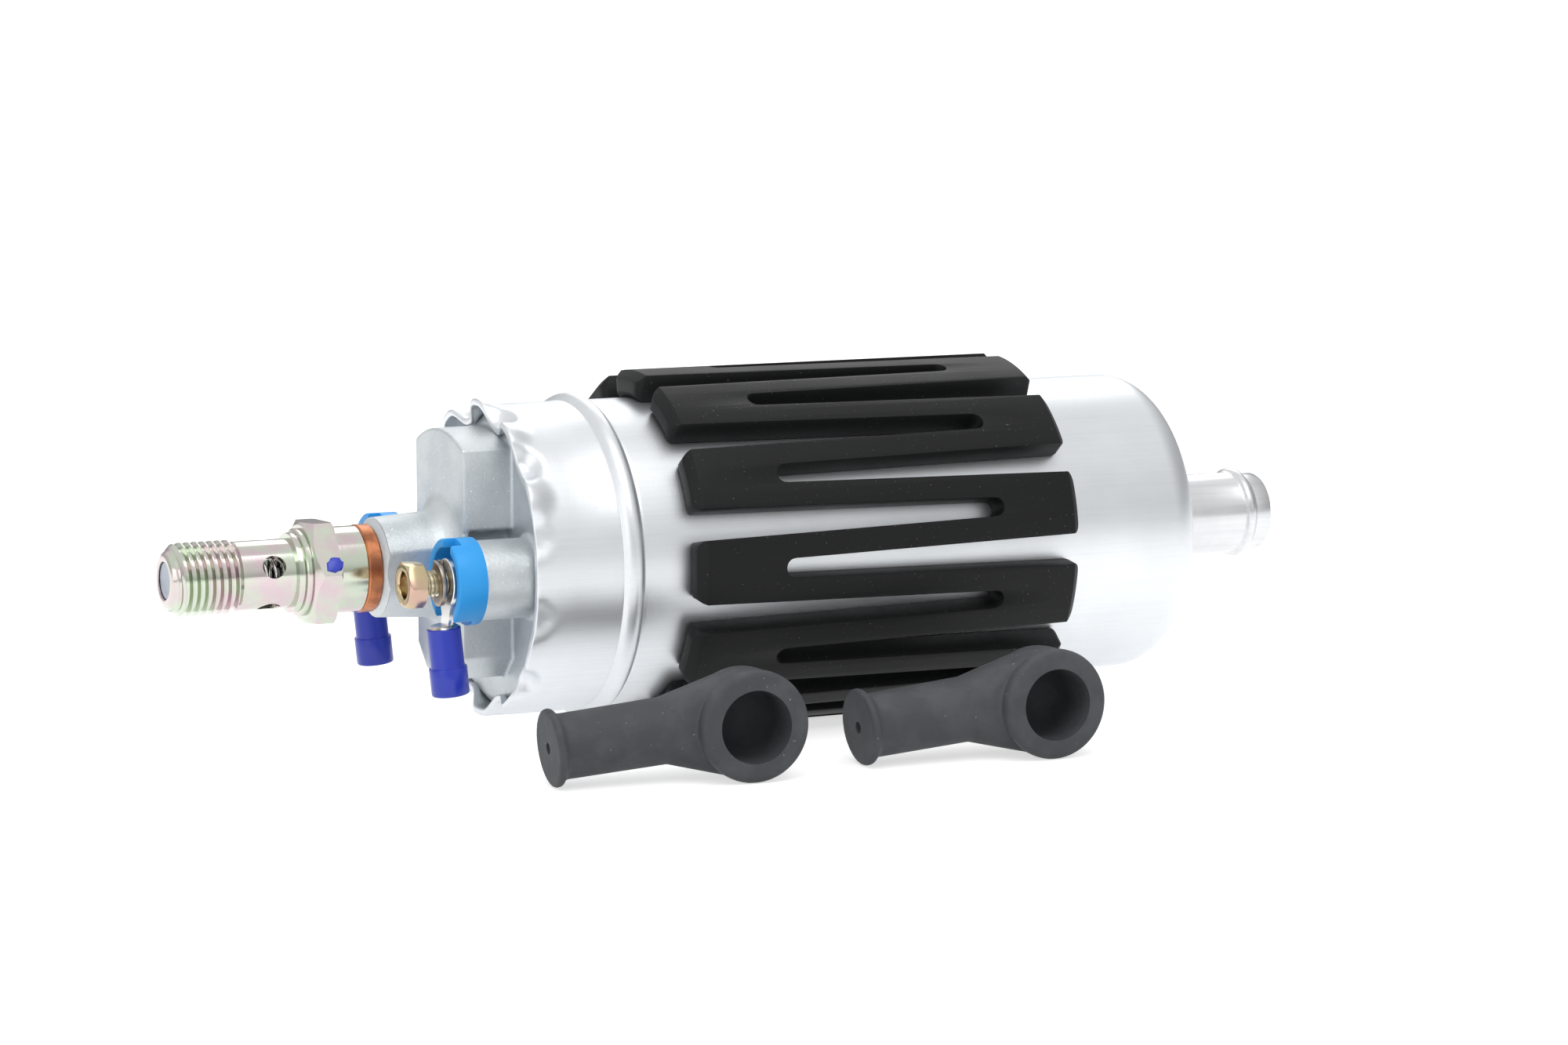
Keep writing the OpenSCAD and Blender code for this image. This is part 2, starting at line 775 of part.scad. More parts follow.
// Moulded carrier with the rear bearing and two guides that reach into the brush housings
module brush_carrier() {
    color("saddlebrown") difference() {
        union() {
            disc_x(skirt_step_x + close_fit, skirt_end_x - close_fit, skirt_bore - close_fit);
            disc_x(hub_x, skirt_end_x - close_fit, bush_r + hub_wall);
            for (s = [0, 1]) mirror([0, 0, s])
                box_x(tunnel_x + seat_fit, skirt_end_x - close_fit, tube_half_w,
                    brush_z - tube_half_d, brush_z + tube_half_d);
        }
        disc_x(hub_x - over, skirt_end_x + over, bush_r + close_fit);
        for (s = [0, 1]) mirror([0, 0, s])
            box_x(tunnel_x + guide_wall, skirt_end_x + over, brush_w / 2 + seat_fit,
                brush_z - brush_d / 2 - seat_fit, brush_z + brush_d / 2 + seat_fit);
        for (a = [-20, 20, 160, 200])
            at_polar(a, flow_ring_r) disc_x(skirt_step_x - over, skirt_end_x + over, port_r);
    }
}

brush_x1 = comm_x - brush_gap;
brush_x0 = brush_x1 - brush_len;
module brush_upper() {
    color("darkslategray")
        box_x(brush_x0, brush_x1, brush_w / 2, brush_z - brush_d / 2, brush_z + brush_d / 2);
}

module brush_lower() {
    color("darkslategray") mirror([0, 0, 1])
        box_x(brush_x0, brush_x1, brush_w / 2, brush_z - brush_d / 2, brush_z + brush_d / 2);
}

module brush_coil() {
    coil_spring(brush_d / 2 - 0.8, brush_wire, brush_turns,
        tunnel_x + guide_wall + close_fit, brush_x0 - close_fit);
}

module brush_spring_upper() {
    color("silver") translate([0, 0, brush_z]) brush_coil();
}

module brush_spring_lower() {
    color("silver") translate([0, 0, -brush_z]) brush_coil();
}

// Die-cast cover: flange and skirt in the can, two brush housings, two bosses and the neck
module upper_block_outline() {
    intersection() {
        circle(block_top_r);
        translate([-block_half_w, block_low_z]) square([2 * block_half_w, block_top_r]);
    }
}

module lower_block_outline() {
    polygon([
        [-lower_half_w, -block_low_z], [-lower_half_w, -lower_side_z], [-lower_foot_w, -lower_z],
        [lower_foot_w, -lower_z], [lower_half_w, -lower_side_z], [lower_half_w, -block_low_z]
    ]);
}

module extruded_x(x0, x1) {
    translate([x0, 0, 0]) rotate([90, 0, 90]) linear_extrude(x1 - x0) children();
}

module neck() {
    intersection() {
        cone_x(neck_x, cover_x + 1, neck_r_tip, neck_r_root);
        linear_extrude(4 * neck_r_root, center = true) polygon([
            [neck_x, -neck_flat_tip], [cover_x + 1, -neck_flat_root],
            [cover_x + 1, neck_flat_root], [neck_x, neck_flat_tip]
        ]);
    }
}

module cover_body() {
    disc_x(cover_x, cover_x + flange_t, in_can_r - seat_fit);
    disc_x(cover_x + 1, skirt_end_x, in_can_r);
    extruded_x(block_x, cover_x + 1) upper_block_outline();
    extruded_x(block_x, cover_x + 1) lower_block_outline();
    neck();
    for (s = [-1, 1]) translate([0, s * terminal_y, terminal_z]) disc_x(boss_x, cover_x + 1, boss_r);
}

module end_cover() {
    inside_x = cover_x + flange_t;
    color("lightsteelblue") difference() {
        cover_body();
        disc_x(inside_x, skirt_step_x, skirt_bore_deep);
        disc_x(skirt_step_x, skirt_end_x + over, skirt_bore);
        disc_x(neck_x - over, neck_x + stub_len + stub_gap, stub_r + close_fit);
        disc_x(neck_x, inside_x + over, stub_r - stub_step);
        for (s = [-1, 1]) translate([0, s * terminal_y, terminal_z])
            disc_x(boss_x - over, inside_x + over, stud_bore);
        for (s = [0, 1]) mirror([0, 0, s])
            box_x(tunnel_x, inside_x + over, tube_half_w + seat_fit,
                brush_z - tube_half_d - seat_fit, brush_z + tube_half_d + seat_fit);
        tube_x(groove_x, groove_x + groove_w, in_can_r + over, can_bore - 2 * seal_r - seat_fit);
    }
}

module cover_seal() {
    color("black") rotate([0, 90, 0]) rotate_extrude()
        translate([can_bore - close_fit - seal_r, groove_x + groove_w / 2]) circle(seal_r);
}

// Outlet check valve
module copper_washer() {
    color("darkorange") tube_x(valve_x, neck_x, valve_body_r + washer_over, stub_r + 2 * seat_fit);
}

module valve_hex() {
    corner = hex_af / sqrt(3);
    intersection() {
        hex_x(hex_x0, hex_x1, hex_af);
        turned_x([
            [0, hex_x0], [hex_af / 2 - hex_bevel, hex_x0], [corner + over, hex_x0 + 2 * hex_bevel],
            [corner + over, hex_x1 - hex_bevel], [corner - hex_bevel, hex_x1], [0, hex_x1]
        ]);
    }
}

module valve_shell() {
    turned_x([
        [0, tip_x], [thread_r - 1.7, tip_x], [thread_r - 1, tip_x + 0.6],
        [thread_r - 0.3, thread_x0], [thread_r, thread_x0 + 0.3], [thread_r, shank_x0],
        [shank_r, shank_x0 + shank_drop], [shank_r, shank_x1], [shank_r + collar_step, shank_x1],
        [shank_r + collar_step, shank_x1 + collar_rings_len / 2],
        [shank_r + 1.6 * collar_step, shank_x1 + collar_rings_len / 2],
        [shank_r + 1.6 * collar_step, hex_x0 + 0.1], [0, hex_x0 + 0.1]
    ]);
    valve_hex();
    disc_x(hex_x1 - 0.1, valve_x, valve_body_r);
    disc_x(valve_x - 0.1, neck_x + stub_len, stub_r);
}

module valve_body() {
    color("lightgoldenrodyellow") difference() {
        valve_shell();
        thread_grooves(thread_x0 + 0.5, shank_x0 - 0.3, thread_r, thread_pitch);
        disc_x(tip_x - over, chamber_x1, chamber_r);
        disc_x(chamber_x1 - over, valve_x, orifice_r);
        disc_x(valve_x - over, neck_x + stub_len + over, stub_r - stub_wall);
        for (i = [0:3]) rotate([cross_angle + i * 90, 0, 0]) translate([cross_x, 0, 0])
            rotate([-90, 0, 0]) cylinder(r = cross_r, h = thread_r + over);
    }
}

module valve_plunger() {
    face = chamber_x1 - run_fit;
    color("dimgray") turned_x([
        [0, face - plunger_t - stem_len], [1.1, face - plunger_t - stem_len], [1.5, face - plunger_t],
        [plunger_r, face - plunger_t], [plunger_r, face - 0.6], [plunger_r - 0.6, face], [0, face]
    ]);
}

module valve_spring() {
    spring_end = chamber_x1 - run_fit - plunger_t;
    color("silver") coil_spring(valve_coil_r, valve_wire, valve_turns, plug_x + plug_t, spring_end);
}

module tip_plug() {
    color("lightsteelblue") turned_x([
        [0, plug_x + 0.7], [1, plug_x + 0.7], [1.8, plug_x + 0.1], [chamber_r - 0.5, plug_x],
        [chamber_r - close_fit, plug_x + 0.5], [chamber_r - close_fit, plug_x + plug_t],
        [0, plug_x + plug_t]
    ]);
}

// Electrical terminals: each side is the same stack, mirrored
module at_terminal(side) {
    translate([0, side * terminal_y, terminal_z]) children();
}

module stud() {
    difference() {
        union() {
            turned_x([
                [0, stud_x0], [stud_r - 0.5, stud_x0], [stud_r, stud_x0 + 0.5],
                [stud_r, head_x + over], [0, head_x + over]
            ]);
            disc_x(head_x, head_x + head_h, head_r);
        }
        thread_grooves(stud_x0 + stud_pitch, clamp_x - stud_pitch / 2, stud_r, stud_pitch);
    }
}

module stud_near() {
    color("silver") at_terminal(-1) stud();
}

module stud_far() {
    color("silver") at_terminal(1) stud();
}

// Insulating cup with a sleeve through the boss, open below for the ring terminal's tongue
module collar() {
    difference() {
        union() {
            tube_x(collar_x, boss_x, collar_r, stud_r + seat_fit);
            tube_x(boss_x - 0.1, cover_x + flange_t, stud_bore - seat_fit, stud_r + seat_fit);
        }
        disc_x(collar_x - over, boss_x - collar_floor, collar_r - collar_wall);
        translate([0, 0, -collar_r - over])
            box_x(collar_x - over, boss_x - collar_floor, mouth_w / 2, 0, collar_r + over);
        rotate([-20, 0, 0]) translate([collar_x - over, -2 * collar_r, 0])
            cube([collar_notch + over, 2 * collar_r, collar_r + 1]);
    }
}

module collar_near() {
    color("dodgerblue") at_terminal(-1) collar();
}

module collar_far() {
    color("dodgerblue") at_terminal(1) collar();
}

module inner_washers() {
    color("tan") for (s = [-1, 1]) at_terminal(s)
        tube_x(cover_x + flange_t, head_x, inner_washer_r, stud_r + seat_fit);
}

module nut_x_solid(x0, x1) {
    corner = nut_af / sqrt(3);
    difference() {
        intersection() {
            hex_x(x0, x1, nut_af);
            turned_x([
                [0, x0], [nut_af / 2 - 0.1, x0], [corner + 0.05, x0 + 0.5],
                [corner + 0.05, x1 - 0.5], [nut_af / 2 - 0.1, x1], [0, x1]
            ]);
        }
        disc_x(x0 - over, x1 + over, stud_r + close_fit);
    }
}

module clamp_nuts() {
    color("khaki") for (s = [-1, 1]) at_terminal(s)
        nut_x_solid(clamp_x, boss_x - collar_floor);
}

module terminal_nuts() {
    color("khaki") for (s = [-1, 1]) at_terminal(s) nut_x_solid(nut_x, nut_x + nut_h);
}

module split_washers() {
    color("rosybrown") for (s = [-1, 1]) at_terminal(s) difference() {
        tube_x(split_x, split_x + split_t, lug_r - 0.2, stud_r + seat_fit);
        rotate([split_angle, 0, 0])
            box_x(split_x - over, split_x + split_t + over, split_w / 2, 0, lug_r + over);
    }
}

// Ring terminal: an eye on the stud, a tongue that leaves through the collar's mouth and a barrel
module leaning() {
    translate([lug_x + lug_t / 2 - barrel_set, 0, sleeve_top - terminal_z]) rotate([0, -sleeve_lean, 0])
        children();
}

module ring_terminal() {
    tongue_z = sleeve_top - terminal_z;
    difference() {
        union() {
            disc_x(lug_x, lug_x + lug_t, lug_r);
            box_x(lug_x, lug_x + lug_t, tongue_w / 2, tongue_z - 1.2, -stud_r - 0.5);
            leaning() translate([0, 0, 0.8 - sleeve_len]) cylinder(r = barrel_r, h = sleeve_len - 1.3);
        }
        disc_x(lug_x - over, lug_x + lug_t + over, stud_r + seat_fit);
        leaning() translate([0, 0, -sleeve_len - over])
            cylinder(r = barrel_bore, h = sleeve_len - 1.5 + over);
    }
}

module ring_terminal_near() {
    color("whitesmoke") at_terminal(-1) ring_terminal();
}

module ring_terminal_far() {
    color("whitesmoke") at_terminal(1) ring_terminal();
}

module crimp_sleeve() {
    leaning() difference() {
        union() {
            translate([0, 0, -sleeve_len]) cylinder(r = sleeve_r, h = sleeve_len);
            translate([0, 0, -sleeve_len]) cylinder(r = flare_r, h = flare_len);
        }
        translate([0, 0, -sleeve_len - over]) cylinder(r = barrel_r + close_fit, h = sleeve_len + 2 * over);
    }
}

module crimp_sleeve_near() {
    color("mediumblue") at_terminal(-1) crimp_sleeve();
}

module crimp_sleeve_far() {
    color("mediumblue") at_terminal(1) crimp_sleeve();
}

// Rubber jacket: a ring slotted from both ends in turn, so that it zig-zags round the can
module slot_outline(closed_x, open_x) {
    along = open_x > closed_x ? 1 : -1;
    reach = abs(open_x - closed_x) + over;
    r0 = slot_closed_w / 2;
    translate([closed_x, 0]) scale([along, 1]) {
        translate([r0, 0]) circle(r0);
        polygon([[r0, -r0], [reach, -slot_open_w / 2], [reach, slot_open_w / 2], [r0, r0]]);
    }
}

module jacket_slots(closed_x, open_x, phase) {
    for (i = [0:pad_count - 1])
        rotate([phase + i * 360 / pad_count, 0, 0])
            translate([0, 0, can_r - 1]) linear_extrude(jacket_r - can_r + 2)
                slot_outline(closed_x, open_x);
}

module rubber_jacket() {
    half_pitch = 180 / pad_count;
    under_bevel = 1.2;
    color("black") difference() {
        turned_x([
            [jacket_bore, -jacket_half + under_bevel], [jacket_bore + under_bevel, -jacket_half],
            [jacket_r - pad_bevel, -jacket_half], [jacket_r, -jacket_half + pad_bevel],
            [jacket_r, jacket_half - pad_bevel], [jacket_r - pad_bevel, jacket_half],
            [jacket_bore + under_bevel, jacket_half], [jacket_bore, jacket_half - under_bevel]
        ]);
        jacket_slots(-jacket_half + pad_len_left, jacket_half, 0);
        jacket_slots(jacket_half - pad_len_right, -jacket_half, half_pitch);
        translate([-2 * jacket_half, -jacket_r, -2 * jacket_r + rest_flat])
            cube([4 * jacket_half, 2 * jacket_r, jacket_r]);
    }
}

// Rubber terminal cap: a cup that faces -Y and an arm that runs to -X
module domed(r, start, back, front) {
    rotate([90, 0, 0]) rotate_extrude() polygon(concat(
        [[0, -back]],
        [for (i = [0:8]) [r * sin(i * 11.25), -start - (back - start) * cos(i * 11.25)]],
        front
    ));
}

module cap_solid() {
    taper_x = -15;
    domed(cup_r, dome_start, cup_back, concat(
        arc_points(cup_r - rim_round, -rim_round, rim_round, 0, 90, 4),
        [[0, 0]]
    ));
    hull($fn = coarse) {
        domed(cup_r - 0.15, dome_start, cup_back - 0.15, [[cup_r - 0.15, -3], [0, -3]], $fn = coarse);
        translate([0, cup_depth, 0]) disc_x(taper_x, taper_x + 0.2, arm_r - 0.05, $fn = coarse);
    }
    translate([0, cup_depth, 0]) {
        disc_x(-arm_len, -cup_r, arm_r);
        turned_x([
            [0, -arm_len], [flange_r - 0.4, -arm_len], [flange_r, -arm_len + 0.5],
            [flange_r, -arm_len + 1.2], [arm_r, -arm_len + 2.2], [0, -arm_len + 2.2]
        ]);
    }
}

module cap_hollow() {
    end_wall = 1.6;
    domed(cup_bore, dome_start, cup_back - 2, [[cup_bore, over], [0, over]]);
    translate([0, cup_depth, 0]) {
        disc_x(-arm_len + end_wall, 0, arm_bore);
        disc_x(-arm_len - over, 0, pilot_r);
    }
}

module terminal_cap(place) {
    translate([place[0], place[1], floor_z + cup_r + cap_lift]) rotate(place[2])
        rotate([0, -cap_tilt, 0]) difference() {
            cap_solid();
            cap_hollow();
        }
}

module terminal_cap_left() {
    color("dimgray") terminal_cap(cap_left);
}

module terminal_cap_right() {
    color("dimgray") terminal_cap(cap_right);
}

can_housing();
inlet_spigot();
inlet_screen();
inlet_plate();
pump_ring();
rotor_disc();
rollers();
outlet_plate();
pump_screws();
dowel_pins();
relief_ball();
relief_spring();
relief_retainer();
motor_shaft();
core_stack();
winding();
commutator();
flux_ring();
magnet_upper();
magnet_lower();
magnet_clips();
front_bush();
rear_bush();
brush_carrier();
brush_upper();
brush_lower();
brush_spring_upper();
brush_spring_lower();
end_cover();
cover_seal();
copper_washer();
valve_body();
valve_plunger();
valve_spring();
tip_plug();
stud_near();
stud_far();
collar_near();
collar_far();
inner_washers();
clamp_nuts();
ring_terminal_near();
ring_terminal_far();
crimp_sleeve_near();
crimp_sleeve_far();
split_washers();
terminal_nuts();
rubber_jacket();
terminal_cap_left();
terminal_cap_right();
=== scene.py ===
import math
from types import SimpleNamespace

import bmesh
import bpy
from bpy.props import FloatProperty, FloatVectorProperty, PointerProperty
from mathutils import Matrix, Vector


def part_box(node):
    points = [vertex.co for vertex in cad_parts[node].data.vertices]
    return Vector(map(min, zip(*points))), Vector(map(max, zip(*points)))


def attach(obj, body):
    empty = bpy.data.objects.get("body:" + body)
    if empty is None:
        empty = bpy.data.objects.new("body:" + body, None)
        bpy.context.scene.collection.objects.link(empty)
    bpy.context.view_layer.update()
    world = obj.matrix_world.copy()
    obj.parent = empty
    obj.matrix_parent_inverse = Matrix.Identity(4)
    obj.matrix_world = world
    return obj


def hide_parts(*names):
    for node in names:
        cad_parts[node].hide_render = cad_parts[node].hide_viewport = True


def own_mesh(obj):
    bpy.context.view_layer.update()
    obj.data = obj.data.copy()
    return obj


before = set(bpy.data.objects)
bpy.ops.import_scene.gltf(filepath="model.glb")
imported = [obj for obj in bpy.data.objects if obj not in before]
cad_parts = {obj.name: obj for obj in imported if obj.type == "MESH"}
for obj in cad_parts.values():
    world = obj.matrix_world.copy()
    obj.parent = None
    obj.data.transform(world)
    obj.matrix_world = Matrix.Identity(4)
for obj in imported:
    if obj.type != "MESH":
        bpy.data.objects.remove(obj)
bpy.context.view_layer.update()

bl_info = {
    "name": "Electric fuel pump",
    "version": (1, 0, 0),
    "blender": (4, 5, 0),
    "location": "3D View > Sidebar > Fuel pump",
    "description": "Dresses the electric fuel pump's CAD model with its visible pieces and materials",
    "category": "Object",
}

MM = 0.001
X_AXIS = Vector((1, 0, 0))


# Sizes and colours

def length(name, value, text):
    return FloatProperty(name=name, description=text, default=value * MM, unit="LENGTH", precision=5)


def shade(name, value, text):
    return FloatVectorProperty(name=name, description=text, default=value, subtype="COLOR", min=0, max=1)


class PUMP_PG_housing(bpy.types.PropertyGroup):
    radius: length("Can radius", 30, "Outer radius of the drawn can")
    wall: length("Can wall", 1.4, "Wall of the drawn can")
    dent: length("Dent depth", 2.3, "How far each crimp is pressed inward")
    lobe: length("Lobe height", 1.4, "How far the rim stands out between crimps")
    spigot: length("Spigot radius", 8.3, "Outer radius of the inlet spigot")
    hose_bead: length("Hose bead", 0.95, "Height of the spigot's hose bead")


class PUMP_PG_jacket(bpy.types.PropertyGroup):
    radius: length("Radius", 35.4, "Outer radius of the rubber jacket")
    thickness: length("Thickness", 5.25, "Thickness of the rubber")
    half: length("Half length", 41.2, "Half the length of the jacket")
    closed_slot: length("Slot width inside", 3.7, "Width of a slot at its closed end")
    open_slot: length("Slot width outside", 6.3, "Width of a slot at its open end")
    edge: length("Edge bevel", 0.45, "Bevel on the edges of the pads")


class PUMP_PG_cover(bpy.types.PropertyGroup):
    grain: length("Mesh size", 0.32, "Edge length of the cast surface's mesh")
    boss: length("Boss radius", 7.55, "Radius of the terminal bosses")
    neck_tip: length("Neck radius", 9.5, "Radius of the neck at its tip")


class PUMP_PG_valve(bpy.types.PropertyGroup):
    thread: length("Thread radius", 6.95, "Radius over the outlet thread")
    pitch: length("Thread pitch", 1.5, "Pitch of the outlet thread")
    hexagon: length("Hexagon", 19, "Width of the hexagon across its flats")
    chamber: length("Chamber radius", 4.3, "Radius of the spring chamber")
    wire: length("Spring wire", 0.76, "Diameter of the spring's wire")


class PUMP_PG_terminals(bpy.types.PropertyGroup):
    stud: length("Stud radius", 2.5, "Radius of the terminal studs")
    nut: length("Nut", 8, "Width of the terminal nuts across their flats")
    collar: length("Collar radius", 8.27, "Outer radius of the insulating collars")
    sleeve: length("Sleeve radius", 3.2, "Radius of the crimp sleeves")
    flare: length("Sleeve foot radius", 3.6, "Radius of the lower part of the crimp sleeves")


class PUMP_PG_caps(bpy.types.PropertyGroup):
    cup: length("Cup radius", 10.5, "Outer radius of the cup")
    bore: length("Cup bore", 6.85, "Radius of the cup's opening")
    arm: length("Arm radius", 6.2, "Radius of the arm")
    flange: length("Flange radius", 7.3, "Radius of the flange at the arm's end")


class PUMP_PG_colours(bpy.types.PropertyGroup):
    collar: shade("Collar", (0.025, 0.37, 0.90), "Colour of the insulating collars")
    sleeve: shade("Sleeve", (0.022, 0.045, 0.50), "Colour of the crimp sleeves")
    jacket: shade("Jacket", (0.009, 0.0095, 0.010), "Colour of the rubber jacket")
    cap: shade("Caps", (0.062, 0.066, 0.072), "Colour of the loose rubber caps")
    cast: shade("Casting", (0.66, 0.695, 0.71), "Colour of the terminal cover")
    can: shade("Can", (0.79, 0.815, 0.84), "Colour of the drawn can")


class PUMP_PG_stage(bpy.types.PropertyGroup):
    floor_size: length("Floor", 60000, "Side of the floor")
    light: FloatProperty(name="World light", description="Strength of the even light", default=0.78)
    key: FloatProperty(name="Key light", description="Power of the large light above", default=3.2,
                       unit="POWER")


GROUPS = {
    "pump_housing": PUMP_PG_housing,
    "pump_jacket": PUMP_PG_jacket,
    "pump_cover": PUMP_PG_cover,
    "pump_valve": PUMP_PG_valve,
    "pump_terminals": PUMP_PG_terminals,
    "pump_caps": PUMP_PG_caps,
    "pump_colours": PUMP_PG_colours,
    "pump_stage": PUMP_PG_stage,
}


def sizes(group):
    """The lengths of a group of settings in millimetres."""
    values = getattr(bpy.context.scene, group)
    return SimpleNamespace(**{
        p.identifier: getattr(values, p.identifier) / MM
        for p in values.bl_rna.properties if p.type == "FLOAT" and p.unit == "LENGTH"
    })


# Modelling helpers; they take millimetres

def activate(obj):
    bpy.ops.object.select_all(action="DESELECT")
    obj.select_set(True)
    bpy.context.view_layer.objects.active = obj


def start(name):
    """Names the primitive that was just added and bakes its place into its mesh."""
    obj = bpy.context.object
    obj.name = name
    obj.data.name = name
    bpy.ops.object.transform_apply(location=True, rotation=True, scale=True)
    return obj


def edit(obj):
    activate(obj)
    bpy.ops.object.mode_set(mode="EDIT")
    bpy.ops.mesh.select_mode(type="VERT")
    bpy.ops.mesh.select_all(action="DESELECT")


def done():
    bpy.ops.object.mode_set(mode="OBJECT")


def pick(obj, kind, test):
    """Selects the elements of the edited mesh for which test holds."""
    bpy.ops.mesh.select_mode(type=kind)
    bpy.ops.mesh.select_all(action="DESELECT")
    mesh = bmesh.from_edit_mesh(obj.data)
    elements = {"VERT": mesh.verts, "EDGE": mesh.edges, "FACE": mesh.faces}[kind]
    for element in [e for e in elements if test(e)]:
        element.select_set(True)
    bmesh.update_edit_mesh(obj.data)


def outward(obj, merge=0.001):
    """Merges doubles and turns all faces outwards."""
    edit(obj)
    bpy.ops.mesh.select_all(action="SELECT")
    if merge:
        bpy.ops.mesh.remove_doubles(threshold=merge * MM)
    bpy.ops.mesh.normals_make_consistent(inside=False)
    done()
    return obj


def turned(name, rings, sides=96, through=False):
    """A piece turned about the X axis from rings of (x, radius)."""
    x, r = rings[0]
    bpy.ops.object.select_all(action="DESELECT")
    bpy.ops.mesh.primitive_circle_add(
        vertices=sides, radius=r * MM, fill_type="NGON",
        location=(x * MM, 0, 0), rotation=(0, math.pi / 2, 0))
    obj = start(name)
    edit(obj)
    bpy.ops.mesh.select_all(action="SELECT")
    for next_x, next_r in rings[1:]:
        bpy.ops.mesh.extrude_region_move(TRANSFORM_OT_translate={"value": ((next_x - x) * MM, 0, 0)})
        if abs(next_r - r) > 1e-6:
            k = next_r / r
            bpy.ops.transform.resize(value=(1, k, k), center_override=(next_x * MM, 0, 0))
        x, r = next_x, next_r
    if through:
        pick(obj, "FACE", lambda f: len(f.verts) > 4)
        bpy.ops.mesh.delete(type="ONLY_FACE")
    done()
    return outward(obj)


def arc(cx, cr, radius, first, last, steps=8):
    """Points of (x, radius) round (cx, cr), angles in degrees from +X towards the outside."""
    angles = [math.radians(first + (last - first) * i / steps) for i in range(steps + 1)]
    return [(cx + radius * math.cos(a), cr + radius * math.sin(a)) for a in angles]


def dome(x, depth, radius, degrees):
    """Points of (x, radius) over a rounded end that starts at x."""
    angles = [math.radians(a) for a in degrees]
    return [(x + depth * math.sin(a), max(radius * math.cos(a), 0.05)) for a in angles]


def wire_section(radius, sides):
    return [(radius * math.cos(math.tau * i / sides), radius * math.sin(math.tau * i / sides))
            for i in range(sides)]


def box(name, lo, hi):
    bpy.ops.object.select_all(action="DESELECT")
    middle = [(a + b) / 2 * MM for a, b in zip(lo, hi)]
    bpy.ops.mesh.primitive_cube_add(size=1, location=middle,
                                    scale=[(b - a) * MM for a, b in zip(lo, hi)])
    return start(name)


def hexagon(name, x0, x1, flats, turn=0.0):
    """A hexagon along X; unturned, its flats face up and down."""
    bpy.ops.object.select_all(action="DESELECT")
    bpy.ops.mesh.primitive_cylinder_add(
        vertices=6, radius=flats / math.sqrt(3) * MM, depth=(x1 - x0) * MM,
        location=((x0 + x1) / 2 * MM, 0, 0), rotation=(0, math.pi / 2, 0))
    obj = start(name)
    place(obj, Matrix.Rotation(turn, 4, "X"))
    return obj


def place(obj, matrix):
    """Moves a piece and bakes the move into its mesh; the matrix is in metres."""
    activate(obj)
    obj.matrix_world = matrix @ obj.matrix_world
    bpy.ops.object.transform_apply(location=True, rotation=True, scale=True)
    return obj


def shift(x=0.0, y=0.0, z=0.0):
    return Matrix.Translation(Vector((x, y, z)) * MM)


def along(direction):
    """Turns +X to a direction."""
    return X_AXIS.rotation_difference(Vector(direction)).to_matrix().to_4x4()


def twin(obj, name, matrix):
    """A copy with its own mesh, moved by the matrix."""
    copy = obj.copy()
    copy.data = obj.data.copy()
    copy.name = name
    copy.data.name = name
    bpy.context.scene.collection.objects.link(copy)
    return place(copy, matrix)


def join(name, objs):
    activate(objs[0])
    for obj in objs:
        obj.select_set(True)
    bpy.ops.object.join()
    objs[0].name = name
    objs[0].data.name = name
    return objs[0]


def modify(obj, kind, **values):
    """Adds a modifier and applies it."""
    activate(obj)
    modifier = obj.modifiers.new(kind, kind)
    for key, value in values.items():
        setattr(modifier, key, value)
    bpy.ops.object.modifier_apply(modifier=modifier.name)
    return obj


def combine(obj, *tools, how="DIFFERENCE"):
    """Cuts, joins or trims a piece by others, which are then removed."""
    for tool in tools:
        modify(obj, "BOOLEAN", operation=how, solver="EXACT", object=tool)
        bpy.data.objects.remove(tool)
    return obj


def slice_off(obj, point, normal):
    """Cuts off what lies on the normal's side of a plane and closes the cut."""
    edit(obj)
    bpy.ops.mesh.select_all(action="SELECT")
    bpy.ops.mesh.bisect(plane_co=Vector(point) * MM, plane_no=normal, use_fill=True, clear_outer=True)
    done()
    return obj


def bevel(obj, width, segments=2, angle=30.0):
    return modify(obj, "BEVEL", width=width * MM, segments=segments, limit_method="ANGLE",
                  angle_limit=math.radians(angle), use_clamp_overlap=True)


def helix(name, radius, section, x0, pitch, turns, steps):
    """A closed section of (x, radius) offsets swept into a helix about the X axis."""
    bpy.ops.object.select_all(action="DESELECT")
    bpy.ops.mesh.primitive_circle_add(vertices=len(section), radius=MM, fill_type="NOTHING",
                                      rotation=(math.pi / 2, 0, 0))
    obj = start(name)
    for vertex, (dx, dr) in zip(obj.data.vertices, section):
        vertex.co = Vector((x0 + dx, 0, radius + dr)) * MM
    modify(obj, "SCREW", axis="X", angle=2 * math.pi * turns, screw_offset=pitch * turns * MM,
           iterations=1, steps=round(steps * turns), render_steps=round(steps * turns),
           use_merge_vertices=False)
    edit(obj)
    pick(obj, "EDGE", lambda e: len(e.link_faces) == 1)
    bpy.ops.mesh.edge_face_add()
    done()
    return outward(obj, merge=0)


def finish(obj, body, slot, nodes=(), smooth=32.0):
    """Shades a piece, gives it its material and ties it to its body, slot and CAD nodes."""
    activate(obj)
    bpy.ops.object.shade_smooth_by_angle(angle=math.radians(smooth))
    obj.data.materials.clear()
    obj.data.materials.append(material(slot))
    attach(obj, body)
    if nodes:
        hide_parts(*nodes)
    return obj


# Materials

def new_socket(tree, name, out=False, kind="NodeSocketFloat", value=None):
    socket = tree.interface.new_socket(name=name, in_out="OUTPUT" if out else "INPUT", socket_type=kind)
    if value is not None:
        socket.default_value = value
    return socket


